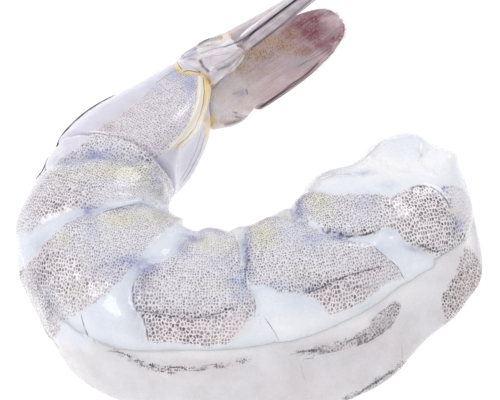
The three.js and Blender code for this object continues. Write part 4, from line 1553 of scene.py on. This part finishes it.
# %% Wrap and smooth
def web_of_skin(name, points, grid, rounds):
    """Wraps points in their hull, remeshes it at a grid in mm and smooths it in rounds."""
    mesh = bpy.data.meshes.new(name)
    mesh.from_pydata([tuple(point) for point in points], [], [])
    web = bpy.data.objects.new(name, mesh)
    bpy.context.scene.collection.objects.link(web)
    choose(web)
    bpy.ops.object.mode_set(mode="EDIT")
    bpy.ops.mesh.select_all(action="SELECT")
    bpy.ops.mesh.convex_hull()
    bpy.ops.object.mode_set(mode="OBJECT")
    for kind, settings in (
        ("REMESH", {"mode": "VOXEL", "voxel_size": grid * MM}),
        ("SMOOTH", {"factor": 0.5, "iterations": rounds}),
        ("SUBSURF", {"levels": 1, "render_levels": 1}),
    ):
        bpy.ops.object.modifier_add(type=kind)
        modifier = web.modifiers[-1]
        for setting, value in settings.items():
            setattr(modifier, setting, value)
        bpy.ops.object.modifier_apply(modifier=modifier.name)
    web.data.shade_smooth()
    print(name, "has", len(web.data.vertices), "vertices")
    return web


print("nodes whose ends a web can join:", len(frames))


# %% Lay on and finish
def rest_on(piece, other, share, gap):
    """Lays the points of a piece onto another one by a share for each, with a small gap between."""
    points = points_of(piece)
    for i in np.nonzero(share > 0)[0]:
        found, place, normal, _ = other.closest_point_on_mesh(Vector(points[i]))
        if found:
            points[i] += share[i] * (np.array(place + normal * gap) - points[i])
    move_points(piece, points)


def finish_web(web, leaf, nodes, relief, free=1.0):
    """Gives a web its waves, where it is free, and its lines and marks."""
    points = points_of(web)
    swell = relief * waves(points, 1.6 * MM, 5) + 0.4 * relief * waves(points, 0.7 * MM, 6)
    move_out(web, swell * free)
    press_lines(web, WEB_LINE_DEPTH)
    store_marks(web, leaf, 0.0)
    fan_pieces[web.name] = (web, nodes)


print("lines go", WEB_LINE_DEPTH, "mm into a web")

# %% Stalks of the right and the left leaves
STALK_OVERLAP = 0.7 * MM  # how far the stalk reaches in under the edge of the shell
LEFT_STALK_DROP = 1.0 * MM  # the real stalk lies this much lower in the picture
SKIN_GAP = 0.02 * MM

right_root = [
    end_points("uropod_base_right", 0, 1), end_points("endopod_right", 0, 0.2), end_points("exopod_right", 0, 0.1),
    end_points("uropod_base_right", 0, 0.2) - frames["endopod_right"][1] * STALK_OVERLAP,
]
right_stalk = web_of_skin("leaf_stalk_right", np.vstack(right_root), 0.25, 16)
right_run = leaf_places(frames["endopod_right"], points_of(right_stalk))[0]
onto_leaf = smooth(right_run, -0.12, 0.1)
rest_on(right_stalk, fan_pieces["inner_leaf_right"][0], onto_leaf, SKIN_GAP)
finish_web(right_stalk, frames["endopod_right"], ["uropod_base_right"], 0.1, 1 - onto_leaf)

left_root = [
    end_points("uropod_base_left", 0, 1) - PICTURE_UP * LEFT_STALK_DROP, end_points("endopod_left", 0, 0.04),
]
left_stalk = web_of_skin("leaf_stalk_left", np.vstack(left_root), 0.22, 6)
finish_web(left_stalk, frames["endopod_left"], ["uropod_base_left"], 0.12)

# %% [markdown]
# The web at the joint bridges its left half, which lies in the upper part of the picture. The real skin
# bulges above the solids there, so the hull also takes in a few points of its outline in the picture, placed
# as far away as the pieces that it joins.

# %% Skin of the joint
JOINT_LOWEST = 82  # pixels down the picture
JOINT_TOP = [(184, 52), (189, 49), (195, 45), (201, 41), (207, 37.5), (213, 36), (220, 34), (228, 31)]
END_PERCENT = 85  # the rest of the shell's points belong to its end

shell_end = node_points("tail_segment")
towards_fan = shell_end @ frames["telson"][1]
shell_end = shell_end[towards_fan > np.percentile(towards_fan, END_PERCENT)]
shell_end = shell_end[photo_xy(shell_end)[:, 1] < JOINT_LOWEST]
telson_root = end_points("telson", 0, 0.14)
stalk_root = end_points("uropod_base_left", 0, 0.3) - PICTURE_UP * LEFT_STALK_DROP / 2
top = [picture_point(x, y, np.vstack([shell_end, telson_root])) for x, y in JOINT_TOP]
joint_skin = web_of_skin("joint_skin", np.vstack([shell_end, telson_root, stalk_root, top]), 0.22, 5)
finish_web(joint_skin, frames["telson"], [], 0.14)

# %% [markdown]
# The tips of the leaves wear a fringe of fine soft bristles. One bristle is a thin cone with three sides. It
# is copied round each tip, pointing outwards, and the copies are joined into one piece.

# %% Fringe
BRISTLE_RADIUS, BRISTLE_LENGTH = 0.045 * MM, 1.0 * MM
BRISTLE_OUT = 0.35 * MM  # from the middle of a bristle to the leaf
FRINGE_FROM = 0.55  # share of the leaf's length where the fringe begins
RIM_TURN = 0.35  # the rim is where a leaf turns away from its broad side at least this much
TO_EACH_LEAF = 120

bpy.ops.mesh.primitive_cone_add(vertices=3, radius1=BRISTLE_RADIUS, radius2=0.0, depth=BRISTLE_LENGTH)
fringe = bpy.context.object
fringe.name = "leaf_fringe"
bristle = points_of(fringe) + np.array([0, 0, BRISTLE_OUT])
bristle_faces = [tuple(face.vertices) for face in fringe.data.polygons]
dice = random.Random(4)
corners, faces = [], []
for node, name in LEAVES.items():
    if node == "telson":
        continue
    leaf = fan_pieces[name][0]
    points, normals = points_of(leaf), normals_of(leaf)
    along, across = frames[node][1:3]
    run, side, _ = leaf_places(frames[node], points)
    rim = (run > FRINGE_FROM) & (np.abs(normals @ np.cross(along, across)) < RIM_TURN)
    rim = np.nonzero(rim & (np.abs(side) > 0.3 - run / 4))[0]
    for i in sorted(dice.sample(list(rim), min(TO_EACH_LEAF, len(rim)))):
        out = Vector(normals[i]) * 0.8 + Vector(along) * 0.7
        out += Vector([dice.uniform(-0.2, 0.2) for _ in range(3)])
        turn = np.array(out.to_track_quat("Z", "Y").to_matrix())
        length = dice.uniform(0.6, 1.1)
        faces += [tuple(v + len(corners) for v in face) for face in bristle_faces]
        corners += [points[i] + turn @ (corner * np.array([1, 1, length])) for corner in bristle]
fringe.data.clear_geometry()
fringe.data.from_pydata([tuple(corner) for corner in corners], [], faces)
fringe.location = (0, 0, 0)
print("bristles:", len(corners) // len(bristle))

# %% [markdown]
# The leaves are wet horn: a pinkish ground, tan in the middle and wine red at the tip, with fine streaks
# along them and pores where they are dark. The same finish serves the telson, the stalks and the webs, since
# the marks that each piece carries make the difference.

# %% Tones of the fan
LEAF_BASE = colour(226, 214, 210)
LEAF_MIDDLE = colour(200, 174, 176)
LEAF_FAR = colour(160, 130, 138)
# A grey tone, also used as painted shade.
LEAF_GREY_SHADE = colour(174, 164, 173)
BAR_PLAIN = colour(209, 201, 207)
# The pale and pink tones also carry painted highlights, the grey and olive tones also painted shade.
FAN_COLOURS = {
    "tan": (colour(190, 156, 130), 0.9), "grey_and_shade": (LEAF_GREY_SHADE, 0.85), "mauve": (colour(128, 30, 60), 0.95),
    "light": (colour(230, 227, 235), 0.85), "pink": (colour(208, 174, 182), 0.8),
    "blue": (colour(98, 100, 142), 0.9), "yellow": (colour(232, 198, 118), 0.9), "olive_and_shade": (colour(74, 70, 56), 0.95),
}
print("tones of the fan:", list(FAN_COLOURS))

# %% Finish of the fan: tones
fan_horn, tree, surface = new_material("fan_horn")
spot = object_place(tree)
run, strip, blade = stored(tree, "run"), stored(tree, "strip"), stored(tree, "blade")
cloudy = clouds(tree, spot, 500.0, 4.0)
ragged = step(tree, cloudy, 0.32, 0.62, 0.6, 1.0)
tone = mix(tree, step(tree, run, -0.2, 0.35), LEAF_BASE, LEAF_MIDDLE)
tone = mix(tree, step(tree, run, 0.45, 0.8), tone, LEAF_FAR)
tone = mix(tree, blade, BAR_PLAIN, tone)
tone = mix(tree, step(tree, cloudy, 0.4, 0.7, 0.0, 0.3), tone, colour(226, 220, 230))
for mark, (mark_tone, most) in FAN_COLOURS.items():
    painted = times(tree, step(tree, times(tree, stored(tree, mark), ragged), 0.0, 0.8), most)
    tone = mix(tree, painted, tone, mark_tone)
print("nodes for the tones:", len(tree.nodes))

# %% Finish of the fan: streaks, pores and lines
# Streaks run along each leaf.
lengthwise = make(tree, "ShaderNodeCombineXYZ", {0: times(tree, strip, 4.0), 1: times(tree, run, 5.0)})
streaks = clouds(tree, lengthwise.outputs[0], 1.0, 3.0)
tone = mix(tree, step(tree, streaks, 0.5, 0.75, 0.0, 0.25), tone, colour(226, 218, 226))
tone = mix(tree, step(tree, streaks, 0.25, 0.5, 0.12, 0.0), tone, colour(90, 66, 74))
specks = clouds(tree, spot, 2300.0)
flecks = times(tree, step(tree, specks, 0.5, 0.7, 0.0, 0.5), stored(tree, "mauve"))
tone = mix(tree, flecks, tone, colour(206, 172, 184))
# Fine pores show where the leaf is dark.
cells = make(tree, "ShaderNodeTexVoronoi", {"Vector": spot, "Scale": 3000.0, "Randomness": 0.9})
darkness = maths(tree, "MAXIMUM", stored(tree, "tan"), stored(tree, "mauve"))
pored = times(tree, blade, step(tree, darkness, 0.0, 0.8, 0.15, 0.85))
pores = times(tree, step(tree, cells.outputs["Distance"], 0.22, 0.5, 0.7, 0.0), pored)
tone = mix(tree, pores, tone, colour(100, 66, 62))
# The dark lines, with the painted shade along the left bars.
beside = plus(tree, maths(tree, "ABSOLUTE", stored(tree, "line_side")), times(tree, cloudy, 0.5))
line = times(tree, step(tree, beside, 0.6, 1.5, 0.85, 0.0), stored(tree, "line_power"))
tone = mix(tree, line, tone, mix(tree, blade, colour(70, 64, 74), colour(66, 34, 46)))
raised = minus(tree, times(tree, streaks, 0.00006), times(tree, pores, 0.00003))
wet = use_group(tree, wet_group, {"Place": spot, "Size": 1100.0, "Height": 0.00014, "Extra": raised})
give(tree, surface, {
    "Base Color": tone, "Roughness": 0.32, "Normal": wet["Normal"], "Coat Weight": 0.6, "Coat Roughness": 0.12,
    "Subsurface Weight": 0.12, "Subsurface Scale": 0.0006,
})
for piece, nodes in fan_pieces.values():
    piece.data.materials.append(fan_horn)
    rides(piece, nodes)
print("finish:", fan_horn.name)

# %% Finish of the fringe
bristle_finish, tree, surface = new_material("fringe_bristle")
tone = mix(tree, clouds(tree, object_place(tree), 800.0), colour(236, 205, 208), colour(216, 178, 186))
give(tree, surface, {"Base Color": tone, "Roughness": 0.5, "Subsurface Weight": 0.3, "Subsurface Scale": 0.0004})
fringe.data.materials.clear()
fringe.data.materials.append(bristle_finish)
rides(fringe, [])
print("fan finished:", len(fan_pieces) + 1, "pieces")

# %% [markdown]
# The prawn lies on a plain white floor under a bright even sky, as in a picture for a shop. A large soft
# lamp from the upper left and a smaller one give the wet surface its gleams.

# %% Floor and light
bpy.ops.mesh.primitive_plane_add(size=3.0, location=(0, 0, 0))
floor = bpy.context.object
floor.name = "floor"
floor_finish, tree, surface = new_material("white_floor")
give(tree, surface, {
    "Base Color": (0.35, 0.35, 0.35, 1), "Roughness": 0.8, "Specular IOR Level": 0.1,
    "Emission Color": (1, 1, 1, 1), "Emission Strength": 0.8,
})
floor.data.materials.append(floor_finish)

world = bpy.data.worlds.new("bright_room")
bpy.context.scene.world = world
world.use_nodes = True
sky = world.node_tree.nodes["Background"]
sky.inputs["Color"].default_value = (0.97, 0.98, 1.0, 1)
sky.inputs["Strength"].default_value = 0.8


def soft_lamp(name, place, size, power):
    bpy.ops.object.light_add(type="AREA", location=place)
    lamp = bpy.context.object
    lamp.name = name
    lamp.data.size = size
    lamp.data.energy = power
    lamp.rotation_euler = (Vector((0, 0, 0.01)) - Vector(place)).to_track_quat("-Z", "Y").to_euler()


soft_lamp("key_lamp", (-0.35, -0.1, 0.5), 0.3, 1.1)
soft_lamp("fill_lamp", (0.3, 0.35, 0.4), 0.2, 0.4)
bpy.context.scene.view_settings.view_transform = "Standard"
print("lamps set")
